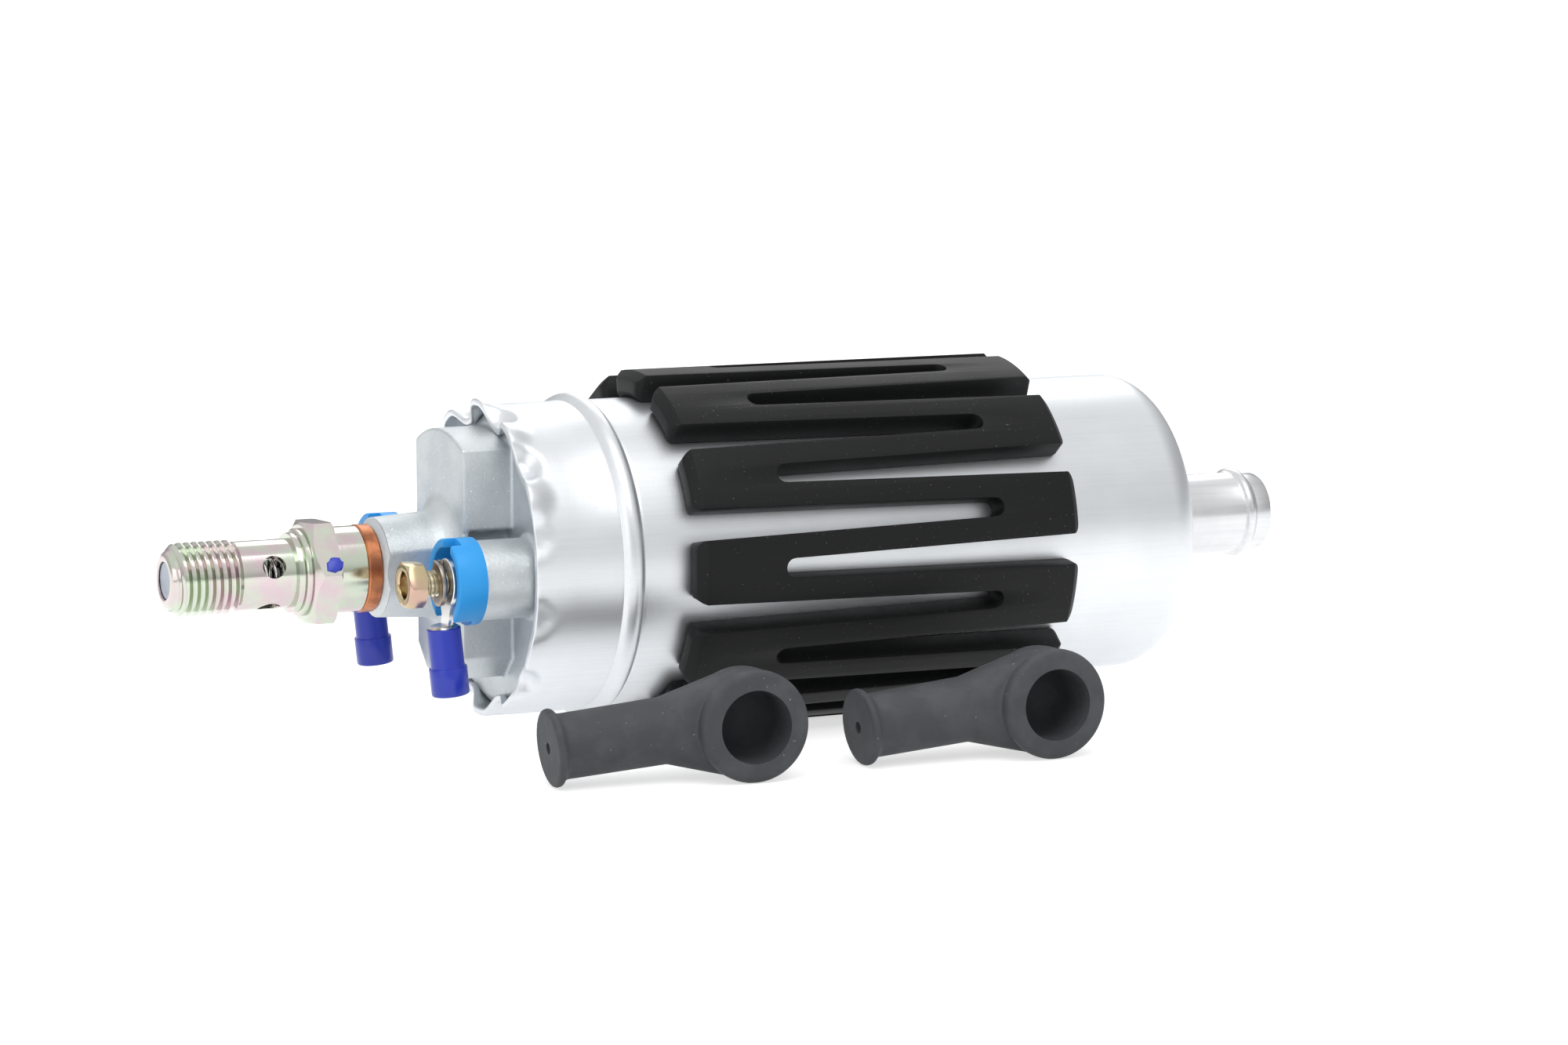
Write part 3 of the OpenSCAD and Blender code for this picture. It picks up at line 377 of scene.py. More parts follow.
def maths(tree, kind, a, b, clamp=False):
    """A math node on two values or sockets."""
    node = tree.nodes.new("ShaderNodeMath")
    node.operation = kind
    node.use_clamp = clamp
    for socket, value in zip(node.inputs, (a, b)):
        if isinstance(value, (int, float)):
            socket.default_value = value
        else:
            tree.links.new(value, socket)
    return node.outputs[0]


def smooth_range(tree, source, first, last, least, most):
    """A smooth ramp from least to most, as the source goes from first to last."""
    node = tree.nodes.new("ShaderNodeMapRange")
    node.interpolation_type = "SMOOTHSTEP"
    for key, value in (("From Min", first), ("From Max", last), ("To Min", least), ("To Max", most)):
        node.inputs[key].default_value = value
    tree.links.new(source, node.inputs["Value"])
    return node.outputs["Result"]


def detail_group():
    """Shared surface detail on object coordinates: grain, clouds, lines, streaks along X and specks."""
    name = "Surface detail"
    if name in bpy.data.node_groups:
        return bpy.data.node_groups[name]
    tree = bpy.data.node_groups.new(name, "ShaderNodeTree")
    new_socket(tree, "Vector", kind="NodeSocketVector")
    for label, value in (("Grain scale", 2000), ("Cloud scale", 60), ("Line scale", 3000),
                         ("Speck scale", 700), ("Speck amount", 0.0)):
        new_socket(tree, label, value=value)
    for label in ("Grain", "Cloud", "Lines", "Streaks", "Specks"):
        new_socket(tree, label, out=True)
    nodes, link = tree.nodes, tree.links.new
    source, result = nodes.new("NodeGroupInput"), nodes.new("NodeGroupOutput")

    def noise(scale, detail, roughness, vector=None):
        node = nodes.new("ShaderNodeTexNoise")
        node.inputs["Detail"].default_value = detail
        node.inputs["Roughness"].default_value = roughness
        link(vector or source.outputs["Vector"], node.inputs["Vector"])
        if scale:
            link(source.outputs[scale], node.inputs["Scale"])
        else:
            node.inputs["Scale"].default_value = 1
        return node.outputs["Fac"]

    link(noise("Grain scale", 3, 0.6), result.inputs["Grain"])
    link(noise("Cloud scale", 4, 0.55), result.inputs["Cloud"])
    split = nodes.new("ShaderNodeSeparateXYZ")
    link(source.outputs["Vector"], split.inputs[0])
    combine_xyz = nodes.new("ShaderNodeCombineXYZ")
    link(maths(tree, "MULTIPLY", split.outputs[0], source.outputs["Line scale"]), combine_xyz.inputs[0])
    link(noise(None, 2, 0.6, combine_xyz.outputs[0]), result.inputs["Lines"])
    squeezed = nodes.new("ShaderNodeVectorMath")
    squeezed.operation = "MULTIPLY"
    link(source.outputs["Vector"], squeezed.inputs[0])
    squeezed.inputs[1].default_value = (0.02, 1, 1)
    link(noise("Grain scale", 3, 0.7, squeezed.outputs[0]), result.inputs["Streaks"])
    threshold, sharpness = 0.74, 25
    edge = maths(tree, "SUBTRACT", threshold, source.outputs["Speck amount"])
    over = maths(tree, "SUBTRACT", noise("Speck scale", 2, 0.5), edge)
    link(maths(tree, "MULTIPLY", over, sharpness, clamp=True), result.inputs["Specks"])
    return tree


def paint(name, colour, metallic=0.0, rough=0.4, cloud=None, grain=None, lines=None, specks=None,
          streaks=None, coat=0.0, spec=0.5, rough_vary=0.0):
    """A Principled material with the shared surface detail.

    cloud is (colour, amount, scale), grain and lines are (scale, height in mm),
    specks is (colour, scale, amount), streaks is (colour, amount).
    """
    mat = bpy.data.materials.new(name)
    mat.use_nodes = True
    nodes, link = mat.node_tree.nodes, mat.node_tree.links.new
    shader = nodes["Principled BSDF"]
    for key, value in (("Metallic", metallic), ("Roughness", rough), ("Coat Weight", coat),
                       ("Specular IOR Level", spec), ("Coat Roughness", 0.15)):
        shader.inputs[key].default_value = value
    shader.inputs["Base Color"].default_value = (*colour, 1)
    where = nodes.new("ShaderNodeTexCoord")
    detail = nodes.new("ShaderNodeGroup")
    detail.node_tree = detail_group()
    link(where.outputs["Object"], detail.inputs["Vector"])

    def mix(first, second, fac, amount):
        node = nodes.new("ShaderNodeMix")
        node.data_type = "RGBA"
        if isinstance(first, tuple):
            node.inputs[6].default_value = (*first, 1)
        else:
            link(first, node.inputs[6])
        node.inputs[7].default_value = (*second, 1)
        link(maths(mat.node_tree, "MULTIPLY", fac, amount, clamp=True), node.inputs[0])
        return node.outputs[2]

    def stretched(feature, first, last):
        node = nodes.new("ShaderNodeMapRange")
        node.inputs["From Min"].default_value = first
        node.inputs["From Max"].default_value = last
        link(detail.outputs[feature], node.inputs["Value"])
        return node.outputs["Result"]

    tint = colour
    if cloud:
        detail.inputs["Cloud scale"].default_value = cloud[2]
        tint = mix(tint, cloud[0], stretched("Cloud", 0.42, 0.62), cloud[1])
    if streaks:
        tint = mix(tint, streaks[0], stretched("Streaks", 0.45, 0.7), streaks[1])
    if specks:
        detail.inputs["Speck scale"].default_value = specks[1]
        detail.inputs["Speck amount"].default_value = specks[2]
        tint = mix(tint, specks[0], detail.outputs["Specks"], 1)
    if not isinstance(tint, tuple):
        link(tint, shader.inputs["Base Color"])
    if rough_vary:
        vary = nodes.new("ShaderNodeMapRange")
        vary.inputs["To Min"].default_value = rough - rough_vary
        vary.inputs["To Max"].default_value = rough + rough_vary
        link(detail.outputs["Cloud"], vary.inputs["Value"])
        link(vary.outputs["Result"], shader.inputs["Roughness"])
    normal = None
    for feature, label in ((grain, "Grain"), (lines, "Lines")):
        if not feature:
            continue
        detail.inputs["Grain scale" if label == "Grain" else "Line scale"].default_value = feature[0]
        bump = nodes.new("ShaderNodeBump")
        bump.inputs["Strength"].default_value = 1
        bump.inputs["Distance"].default_value = feature[1] * MM
        link(detail.outputs[label], bump.inputs["Height"])
        if normal:
            link(normal, bump.inputs["Normal"])
        normal = bump.outputs["Normal"]
    if normal:
        link(normal, shader.inputs["Normal"])
    return mat


def recipe(slot):
    """The look of a material slot."""
    tone = bpy.context.scene.pump_colours
    steel = (0.56, 0.56, 0.57)
    recipes = {
        "drawn_can": dict(colour=tuple(tone.can), metallic=1, rough=0.4, lines=(2600, 0.01),
                          grain=(1800, 0.012), cloud=((0.70, 0.72, 0.74), 0.5, 40),
                          streaks=((0.62, 0.65, 0.69), 0.22)),
        "spigot_metal": dict(colour=(0.74, 0.75, 0.76), metallic=1, rough=0.3, lines=(3000, 0.006),
                             grain=(1400, 0.004), cloud=((0.62, 0.63, 0.65), 0.5, 80),
                             streaks=((0.55, 0.56, 0.58), 0.4)),
        "screen_wire": dict(colour=(0.5, 0.48, 0.42), metallic=1, rough=0.4),
        "plate_steel": dict(colour=steel, metallic=1, rough=0.4),
        "ring_steel": dict(colour=(0.5, 0.5, 0.51), metallic=1, rough=0.3),
        "screw_steel": dict(colour=(0.3, 0.3, 0.31), metallic=1, rough=0.4),
        "spring_wire": dict(colour=(0.85, 0.85, 0.84), metallic=1, rough=0.2),
        "bush_bronze": dict(colour=(0.55, 0.36, 0.16), metallic=1, rough=0.45),
        "flux_steel": dict(colour=steel, metallic=1, rough=0.5),
        "ferrite": dict(colour=(0.05, 0.05, 0.055), rough=0.6),
        "carrier_resin": dict(colour=(0.04, 0.04, 0.045), rough=0.5),
        "cover_casting": dict(colour=tuple(tone.cast), metallic=0.85, rough=0.52, grain=(1500, 0.075),
                              cloud=((0.52, 0.56, 0.59), 0.6, 110),
                              specks=((0.95, 0.96, 1.0), 2200, 0.05)),
        "seal_rubber": dict(colour=(0.02, 0.02, 0.02), rough=0.6),
        "washer_copper": dict(colour=(0.56, 0.22, 0.10), metallic=1, rough=0.36, lines=(4000, 0.004),
                              grain=(1200, 0.02), cloud=((0.30, 0.11, 0.06), 0.8, 260)),
        "valve_zinc": dict(colour=(0.58, 0.64, 0.53), metallic=1, rough=0.15, lines=(2600, 0.006),
                           cloud=((0.66, 0.50, 0.56), 0.8, 150)),
        "plug_metal": dict(colour=(0.42, 0.46, 0.52), metallic=0.8, rough=0.4),
        "stud_steel": dict(colour=(0.70, 0.66, 0.52), metallic=1, rough=0.32,
                           cloud=((0.55, 0.48, 0.36), 0.6, 300)),
        "collar_blue": dict(colour=tuple(tone.collar), rough=0.42, spec=0.45,
                            cloud=((0.05, 0.42, 0.92), 0.3, 200)),
        "nut_zinc": dict(colour=(0.60, 0.49, 0.30), metallic=1, rough=0.16,
                         cloud=((0.60, 0.38, 0.34), 0.7, 160)),
        "washer_nickel": dict(colour=(0.42, 0.36, 0.30), metallic=1, rough=0.35,
                              cloud=((0.28, 0.22, 0.18), 0.6, 250)),
        "jacket_rubber": dict(colour=tuple(tone.jacket), rough=0.5, spec=0.2, grain=(1300, 0.02),
                              rough_vary=0.08, specks=((0.16, 0.16, 0.16), 2600, 0.02)),
        "shaft_steel": dict(colour=steel, metallic=1, rough=0.2),
        "core_iron": dict(colour=(0.35, 0.35, 0.36), metallic=1, rough=0.5),
        "winding_copper": dict(colour=(0.6, 0.25, 0.1), metallic=1, rough=0.35),
        "plunger_resin": dict(colour=(0.05, 0.05, 0.055), rough=0.45),
        "ball_steel": dict(colour=(0.7, 0.7, 0.7), metallic=1, rough=0.08),
        "brush_carbon": dict(colour=(0.05, 0.045, 0.04), metallic=0.2, rough=0.5),
        "terminal_tin": dict(colour=(0.86, 0.86, 0.85), metallic=1, rough=0.3, grain=(700, 0.02),
                             cloud=((0.74, 0.74, 0.75), 0.5, 250)),
        "sleeve_blue": dict(colour=tuple(tone.sleeve), rough=0.3, spec=0.5, coat=0.15),
        "cap_rubber": dict(colour=tuple(tone.cap), rough=0.62, spec=0.35, grain=(1600, 0.03),
                           cloud=((0.095, 0.100, 0.108), 0.55, 170),
                           specks=((0.42, 0.42, 0.41), 1500, 0.0)),
    }
    return recipes[slot]


def material(slot):
    name = "Pump " + slot
    return bpy.data.materials.get(name) or paint(name, **recipe(slot))


# Pieces

CRIMP_STEP = 30
JACKET_PADS = 12
TERMINAL_Y = 20.3
TERMINAL_Z = -0.7
SIDES = ((-1, "near"), (1, "far"))
SURFACE_Z = -35.1


def at_terminal(side):
    return shift(y=side * TERMINAL_Y, z=TERMINAL_Z)


def build_can():
    s = sizes("pump_housing")
    bore = s.radius - s.wall
    rim, end, corner = -72.3, 72.5, 7.0
    edge = 0.35
    fine = [rim + 0.9 + 0.6 * i for i in range(13)]
    inner = [(x, bore) for x in reversed(fine)] + [(rim + edge, bore)]
    lip = (arc(rim + edge, bore + edge, edge, 270, 180, 3)
           + arc(rim + edge, s.radius - edge, edge, 180, 90, 3))
    bead_x = -52.4
    bead = [(bead_x + dx, s.radius + h) for dx, h in (
        (-2.9, 0), (-2.5, 0.12), (-2.25, 0.1), (-2.05, 0.3), (-1.7, 0.75), (-1.1, 1.2), (-0.5, 1.44),
        (0, 1.5), (0.5, 1.44), (1.1, 1.2), (1.7, 0.7), (2.0, 0.25), (2.15, -0.08), (2.4, -0.02), (2.8, 0))]
    rings = [(end - s.wall, s.spigot + 0.05), (end - s.wall, s.radius - corner)]
    rings += arc(end - corner, s.radius - corner, corner - s.wall, 0, 90, 8)[1:]
    rings += inner + lip + [(x, s.radius) for x in fine] + bead
    rings += arc(end - corner, s.radius - corner, corner, 90, 0, 12)
    rings += [(end, s.spigot + 0.05), (end - s.wall, s.spigot + 0.05)]
    obj = turned("Can", rings, sides=240, through=True)
    edit(obj)

    def press(turn, x, inward, forward, grab, reach):
        """Moves the wall near a point, softly within reach."""
        a = math.radians(turn)
        out = Vector((0, math.cos(a), math.sin(a)))
        spot = Vector((x, 0, 0)) * MM + out * (s.radius - s.wall / 2) * MM
        pick(obj, "VERT", lambda v: (v.co - spot).length < grab * MM)
        bpy.ops.transform.translate(value=(X_AXIS * forward - out * inward) * MM, use_proportional_edit=True,
                                    proportional_edit_falloff="SMOOTH", proportional_size=reach * MM)

    for i in range(360 // CRIMP_STEP):
        lobe = i * CRIMP_STEP
        dent = lobe + CRIMP_STEP / 2
        height = math.sin(math.radians(lobe))
        if lobe % 180:
            press(lobe, rim + 0.2, -s.lobe * (0.95 if height > 0 else 0.1), -0.3, 1.1, 5.0)
        shallow = abs(math.sin(math.radians(dent))) < 0.3
        depth = s.dent * (0.35 if shallow else 1 + 0.1 * math.sin(5 * i))
        press(dent, rim + 0.2, depth, 0.4 if shallow else 1.0, 1.1, 4.4)
        if not shallow:
            press(dent + 4, rim + 3.0, 0.5, 0, 0.9, 1.5)
    done()
    finish(obj, "pump_body", "drawn_can", ["can_housing"], smooth=40)


def build_spigot():
    s = sizes("pump_housing")
    bore = s.spigot - 1.7
    bead = 96.4
    swell = [(bead + dx, s.spigot + h * s.hose_bead) for dx, h in (
        (-1.5, 0), (-1.2, 0.15), (-0.9, 0.5), (-0.55, 0.85), (-0.1, 1), (0.35, 0.93), (0.8, 0.6),
        (1.2, 0.15))]
    rings = [(71.2, bore), (71.2, s.spigot - 0.02), (72.4, s.spigot - 0.02), (72.6, s.spigot + 0.35),
             (72.9, s.spigot + 0.1), (73.4, s.spigot)]
    rings += swell + [(bead + 1.8, s.spigot - 0.4), (101.2, s.spigot - 0.4), (101.6, s.spigot - 0.65),
                      (101.8, s.spigot - 1.05), (101.8, bore + 0.25), (101.6, bore), (71.2, bore)]
    obj = turned("Inlet_spigot", rings, sides=96, through=True)
    finish(obj, "pump_body", "spigot_metal", ["inlet_spigot"], smooth=40)


def slot_tool(width_in, width_out, depth, closed_x, side):
    """A slot's outline, cut through the flat rubber; side is where it opens."""
    bpy.ops.object.select_all(action="DESELECT")
    bpy.ops.mesh.primitive_cylinder_add(vertices=28, radius=width_in / 2 * MM, depth=3 * depth * MM,
                                        location=((closed_x + side * width_in / 2) * MM, 0, 0),
                                        rotation=(math.pi / 2, 0, 0))
    obj = start("Slot")
    centre = (closed_x + side * width_in / 2) * MM
    reach, slot_length, past_end = 67.2, 64.4, 0.4
    edit(obj)
    pick(obj, "VERT", lambda v: (v.co.x - centre) * side > 0.001 * MM)
    bpy.ops.transform.translate(value=(side * reach * MM, 0, 0))
    span = slot_length + past_end - width_in / 2
    k = 1 + (width_out / width_in - 1) * reach / span
    bpy.ops.transform.resize(value=(1, 1, k), center_override=(centre, 0, 0))
    done()
    return obj


def build_jacket():
    s = sizes("pump_jacket")
    sector = math.radians(360 / JACKET_PADS)
    closed_left, closed_right, chamfer_low, chamfer_top = -23.2, 24.2, 1.7, 1.1
    wide = s.radius * sector
    obj = box("Jacket", (-s.half, 0, -wide / 2), (s.half, s.thickness, wide / 2))
    combine(obj, slot_tool(s.closed_slot, s.open_slot, s.thickness, closed_left, 1))
    for side in (-1, 1):
        cutter = slot_tool(s.closed_slot, s.open_slot, s.thickness, closed_right, -1)
        combine(obj, place(cutter, shift(z=side * wide / 2)))
    for end in (-1, 1):
        slice_off(obj, (end * (s.half - chamfer_low), 0, 0), (end, -1, 0))
        slice_off(obj, (end * (s.half - chamfer_top), s.thickness, 0), (end, 1, 0))
    edit(obj)
    near = 0.02 * MM

    def seam(element):
        return all(abs(abs(v.co.z) - wide / 2 * MM) < near for v in element.verts)

    def corner(edge):
        a, b = (v.co for v in edge.verts)
        upright = abs(a.x - b.x) < near and abs(a.z - b.z) < near and abs(a.y - b.y) > MM
        return upright and abs(a.x) > (s.half - 1) * MM and not seam(edge)

    pick(obj, "EDGE", corner)
    bpy.ops.mesh.bevel(offset=1.9 * MM, segments=4, affect="EDGES")
    pick(obj, "FACE", seam)
    bpy.ops.mesh.delete(type="FACE")
    cuts = 20
    for i in range(1, cuts):
        bpy.ops.mesh.select_all(action="SELECT")
        bpy.ops.mesh.bisect(plane_co=(0, 0, (i / cuts - 0.5) * wide * MM), plane_no=(0, 0, 1))
    done()
    modify(obj, "SIMPLE_DEFORM", deform_method="BEND", deform_axis="X", angle=sector)
    place(obj, shift(y=-s.radius))
    parts = [obj] + [twin(obj, "Part", Matrix.Rotation(sector * i, 4, "X")) for i in range(1, JACKET_PADS)]
    join("Rubber_jacket", parts)
    outward(obj, merge=0.02)
    slice_off(obj, (0, 0, -s.radius + 0.3), (0, 0, -1))
    bevel(obj, s.edge, segments=2, angle=34)
    finish(obj, "pump_body", "jacket_rubber", ["rubber_jacket"], smooth=30)


def build_cover():
    s = sizes("pump_cover")
    front, back = -80.2, -69
    top_r, top_half, low_half = 25.95, 12.4, 12.3
    neck_end, neck_length = -94.7, 25.7
    top = turned("Upper", [(front, top_r), (back, top_r)], sides=180)
    combine(top, box("Outline", (-85, -top_half, 7.5), (-60, top_half, 40)), how="INTERSECT")
    edit(top)
    pick(top, "EDGE", lambda e: abs(e.verts[0].co.x - e.verts[1].co.x) > 5 * MM
         and all(v.co.z > 20 * MM and abs(abs(v.co.y) - top_half * MM) < 0.05 * MM for v in e.verts))
    bpy.ops.mesh.bevel(offset=1 * MM, segments=3, affect="EDGES")
    done()
    low = box("Lower", (front, -low_half, -21.5), (back, low_half, -7.5))
    for side in (-1, 1):
        slice_off(low, (0, side * low_half, -17), (0, side * 4.5, -5.8))
    neck = turned("Neck", [(neck_end, s.neck_tip), (back, 11)], sides=96)
    for side in (-1, 1):
        slice_off(neck, (neck_end, side * 8.8, 0), (-1.0 / neck_length, side, 0))
    root = turned("Root", [(-84.2, 10.1), (-82.4, 10.5), (-81.2, 11.3), (-80.4, 12.6), (-80.1, 14),
                           (-79, 14.2)], sides=96)
    combine(root, box("Trim", (-85, -top_half, -20), (-78, top_half, 26)), how="INTERSECT")
    bosses = [place(turned("Boss", [(-81.5, s.boss), (-71, s.boss), (-69.6, s.boss + 0.8)], sides=64),
                    at_terminal(side)) for side in (-1, 1)]
    flange = turned("Flange", [(-70, 26.6), (-68.6, 28.4), (-66, 28.4)], sides=160)
    obj = join("End_cover", [flange, top, low, neck, root, *bosses])
    modify(obj, "REMESH", mode="VOXEL", voxel_size=s.grain * MM)
    modify(obj, "SMOOTH", factor=0.5, iterations=3)
    modify(obj, "DECIMATE", ratio=0.35)
    for side in (-1, 1):
        combine(obj, place(turned("Bore", [(-90, 3.6), (-60, 3.6)], sides=48), at_terminal(side)))
        flat = box("Flat", (-97, 8, -9), (-84.3, 14, 9))
        slice_off(flat, (neck_end, 8.7, 0), (1.0 / neck_length, -1, 0))
        combine(obj, place(flat, Matrix.Scale(side, 4, (0, 1, 0))))
    combine(obj, turned("Socket", [(-99, 5.2), (-86, 5.2)], sides=64))
    tip = turned("Tip", [(-96, 5), (-94.55, 8.3), (-93.6, 9.3), (-92, 30), (-60, 30)], sides=96)
    combine(obj, tip, how="INTERSECT")
    finish(obj, "pump_body", "cover_casting", ["end_cover"], smooth=38)


def build_valve():
    s = sizes("pump_valve")
    washer = turned("Copper_washer", [(-97.4, 5.2), (-97.4, 8.15), (-97.15, 8.4), (-94.95, 8.4),
                                      (-94.7, 8.15), (-94.7, 5.2), (-97.4, 5.2)], sides=96, through=True)
    finish(washer, "pump_body", "washer_copper", ["copper_washer"])

    minor = s.thread - 0.92
    hole_x, hole_r, first_hole, holes = -115.5, 2.2, 70, 4
    hexa = hexagon("Hexagon", -108.5, -103.5, s.hexagon, turn=math.radians(-2.5))
    corner = s.hexagon / math.sqrt(3)
    envelope = turned("Envelope", [(-108.5, s.hexagon / 2 - 0.5), (-107.0, corner + 0.3),
                                   (-104.1, corner + 0.3), (-103.5, corner - 0.5)], sides=128)
    combine(hexa, envelope, how="INTERSECT")
    body = turned("Body", [
        (-134.9, 3.2), (-135.2, 3.9), (-135.15, 4.6), (-134.9, 5.2), (-134.4, 5.6), (-133.6, minor),
        (-122.0, minor), (-121.6, 6.55), (-111, 6.55), (-111, 7.5), (-110.8, 7.6), (-109.9, 7.6),
        (-109.75, 7.45), (-109.6, 8.1), (-109.4, 8.3), (-108.6, 8.3), (-108.4, 8.1), (-106, 8.25),
        (-103.4, 8.25), (-97.65, 8.25), (-97.4, 8.05), (-97.4, 4.95), (-86.7, 4.95)], sides=96)
    combine(body, hexa, how="UNION")
    ridge = helix("Ridge", minor, [(-0.62, -0.3), (0.62, -0.3), (0.1, 0.92), (-0.1, 0.92)],
                  -134.9, s.pitch, 8.4, steps=48)
    trim = turned("Trim", [(-134.6, 5.4), (-133.1, s.thread), (-122.3, s.thread), (-121.7, minor)],
                  sides=96)
    combine(ridge, trim, how="INTERSECT")
    combine(body, ridge, how="UNION")
    combine(body, turned("Chamber", [(-136, 3.6), (-134.9, 3.6), (-134.8, s.chamber), (-106, s.chamber)],
                         sides=96))
    outward(body, merge=0.004)
    for i in range(holes):
        a = math.radians(first_hole + 360 / holes * i)
        hole = turned("Hole", [(3.4, hole_r), (6.3, hole_r), (8, 2.75)], sides=48)
        combine(body, place(hole, shift(x=hole_x) @ along((0, math.cos(a), math.sin(a)))))
    combine(body, turned("Orifice", [(-107, 2.2), (-96, 2.2)], sides=48))
    combine(body, turned("Stub_bore", [(-97.1, 3), (-80, 3)], sides=40))
    outward(body, merge=0.002)
    body.name = "Valve_body"
    dab = turned("Paint_dab", [(-0.5, 1.6), (0.08, 1.6), (0.2, 1.3)], sides=14)
    edit(dab)
    pick(dab, "VERT", lambda v: v.index % 3 == 0)
    bpy.ops.transform.resize(value=(1, 1.25, 0.8), center_override=(0, 0, 0))
    done()
    facing = math.radians(147.5)
    place(dab, along((0, math.cos(facing), math.sin(facing))))
    place(dab, shift(x=-104.9, y=-9.77, z=2.35))
    finish(dab, "pump_body", "sleeve_blue", smooth=60)
    finish(body, "pump_body", "valve_zinc", ["valve_body"], smooth=28)

    turn_count = 12
    first, last = -132.7, -108.23
    r = s.wire / 2
    spring = helix("Valve_spring", 3.05, wire_section(r, 10), first + r, (last - first - 2 * r) / turn_count,
                   turn_count, steps=30)
    finish(spring, "pump_body", "spring_wire", ["valve_spring"], smooth=60)
    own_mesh(spring)

    plug = turned("Tip_plug", [(-132.7, 4.25), (-134.4, 4.25), (-134.6, 4.0), (-134.8, 3.2),
                               (-134.55, 2.4), (-134.45, 1.2), (-134.45, 0.1)], sides=64)
    finish(plug, "pump_body", "plug_metal", ["tip_plug"])


def build_terminals():
    s = sizes("pump_terminals")
    core = s.stud - 0.45
    hole_r, nut_bore, collar_wall = 2.6, 2.56, 1.65
    stud = turned("Stud", [(-93.4, core - 0.5), (-92.9, core), (-82, core), (-82, s.stud),
                           (-66.4, s.stud), (-66.4, s.stud + 1.2), (-64.4, s.stud + 1.2)], sides=48)
    ridge = helix("Ridge", core, [(-0.34, -0.15), (0.34, -0.15), (0.06, 0.45), (-0.06, 0.45)],
                  -93.1, 0.8, 12.5, steps=32)
    combine(stud, ridge, how="UNION")

    nut = hexagon("Nut", -95.4, -91.6, s.nut, turn=math.radians(4))
    corner = s.nut / math.sqrt(3)
    trim = turned("Trim", [(-95.4, s.nut / 2 - 0.1), (-94.85, corner + 0.1), (-92.15, corner + 0.1),
                           (-91.6, s.nut / 2 - 0.1)], sides=64)
    combine(nut, trim, how="INTERSECT")
    combine(nut, turned("Bore", [(-96, 3.1), (-95.4, 2.75), (-95.0, nut_bore), (-92.0, nut_bore),
                                 (-91.6, 2.75), (-90.4, 3.1)], sides=48))
    bevel(nut, 0.12, segments=2, angle=25)

    clamp = hexagon("Clamp", -86, -83, s.nut, turn=math.radians(-8))
    trim = turned("Trim", [(-86, s.nut / 2 - 0.1), (-85.5, corner + 0.1), (-83, corner + 0.1)], sides=64)
    combine(clamp, trim, how="INTERSECT")
    combine(clamp, turned("Bore", [(-87, nut_bore), (-80, nut_bore)], sides=48))

    split = helix("Split", 2.62, [(-0.5, 0), (0.5, 0), (0.5, 1.75), (-0.5, 1.75)], -88.9, 1.4, 0.97,
                  steps=64)
    bevel(split, 0.12, segments=2, angle=40)

    floor_x, mouth = -83.0, -87.2
    collar = turned("Collar", [
        (floor_x, hole_r), (floor_x, s.collar - collar_wall), (mouth + 0.2, s.collar - collar_wall),
        (mouth, s.collar - 1.45), (mouth, s.collar - 0.3), (mouth + 0.3, s.collar), (-81.5, s.collar),
        (-81.5, 3.5), (-69, 3.5), (-69, hole_r), (floor_x, hole_r)], sides=96, through=True)

    # Wide enough for the ring terminal's neck and barrel at both ends of its turn
    gap_half = 4.5
    gap = box("Gap", (-90, -gap_half, -12), (-83.2, gap_half, -3))
    bevel(gap, 0.5, segments=3)
    for side, word in SIDES:
        here = at_terminal(side)
        finish(twin(stud, "Stud_" + word, here), "pump_body", "stud_steel", ["stud_" + word])
        piece = twin(collar, "Collar_" + word, Matrix())
        combine(piece, twin(gap, "Tool", Matrix()))
        notch = box("Notch", (-90, -1.8, 0), (mouth + 2.2, 1.8, 12))
        combine(piece, place(notch, Matrix.Rotation(math.radians(14), 4, "X")))
        bevel(piece, 0.18, segments=2, angle=40)
        finish(place(piece, here), "pump_body", "collar_blue", ["collar_" + word])
        lug_and_sleeve(side, word)
    for name, slot, source, node in (("Nut", "nut_zinc", nut, "terminal_nuts"),
                                     ("Clamp_nut", "nut_zinc", clamp, "clamp_nuts"),
                                     ("Split_washer", "washer_nickel", split, "split_washers")):
        for side, word in SIDES:
            piece = twin(source, name + "_" + word, at_terminal(side))
            finish(piece, "pump_body", slot, [node])
    for tool in (stud, nut, clamp, split, collar, gap):
        bpy.data.objects.remove(tool)


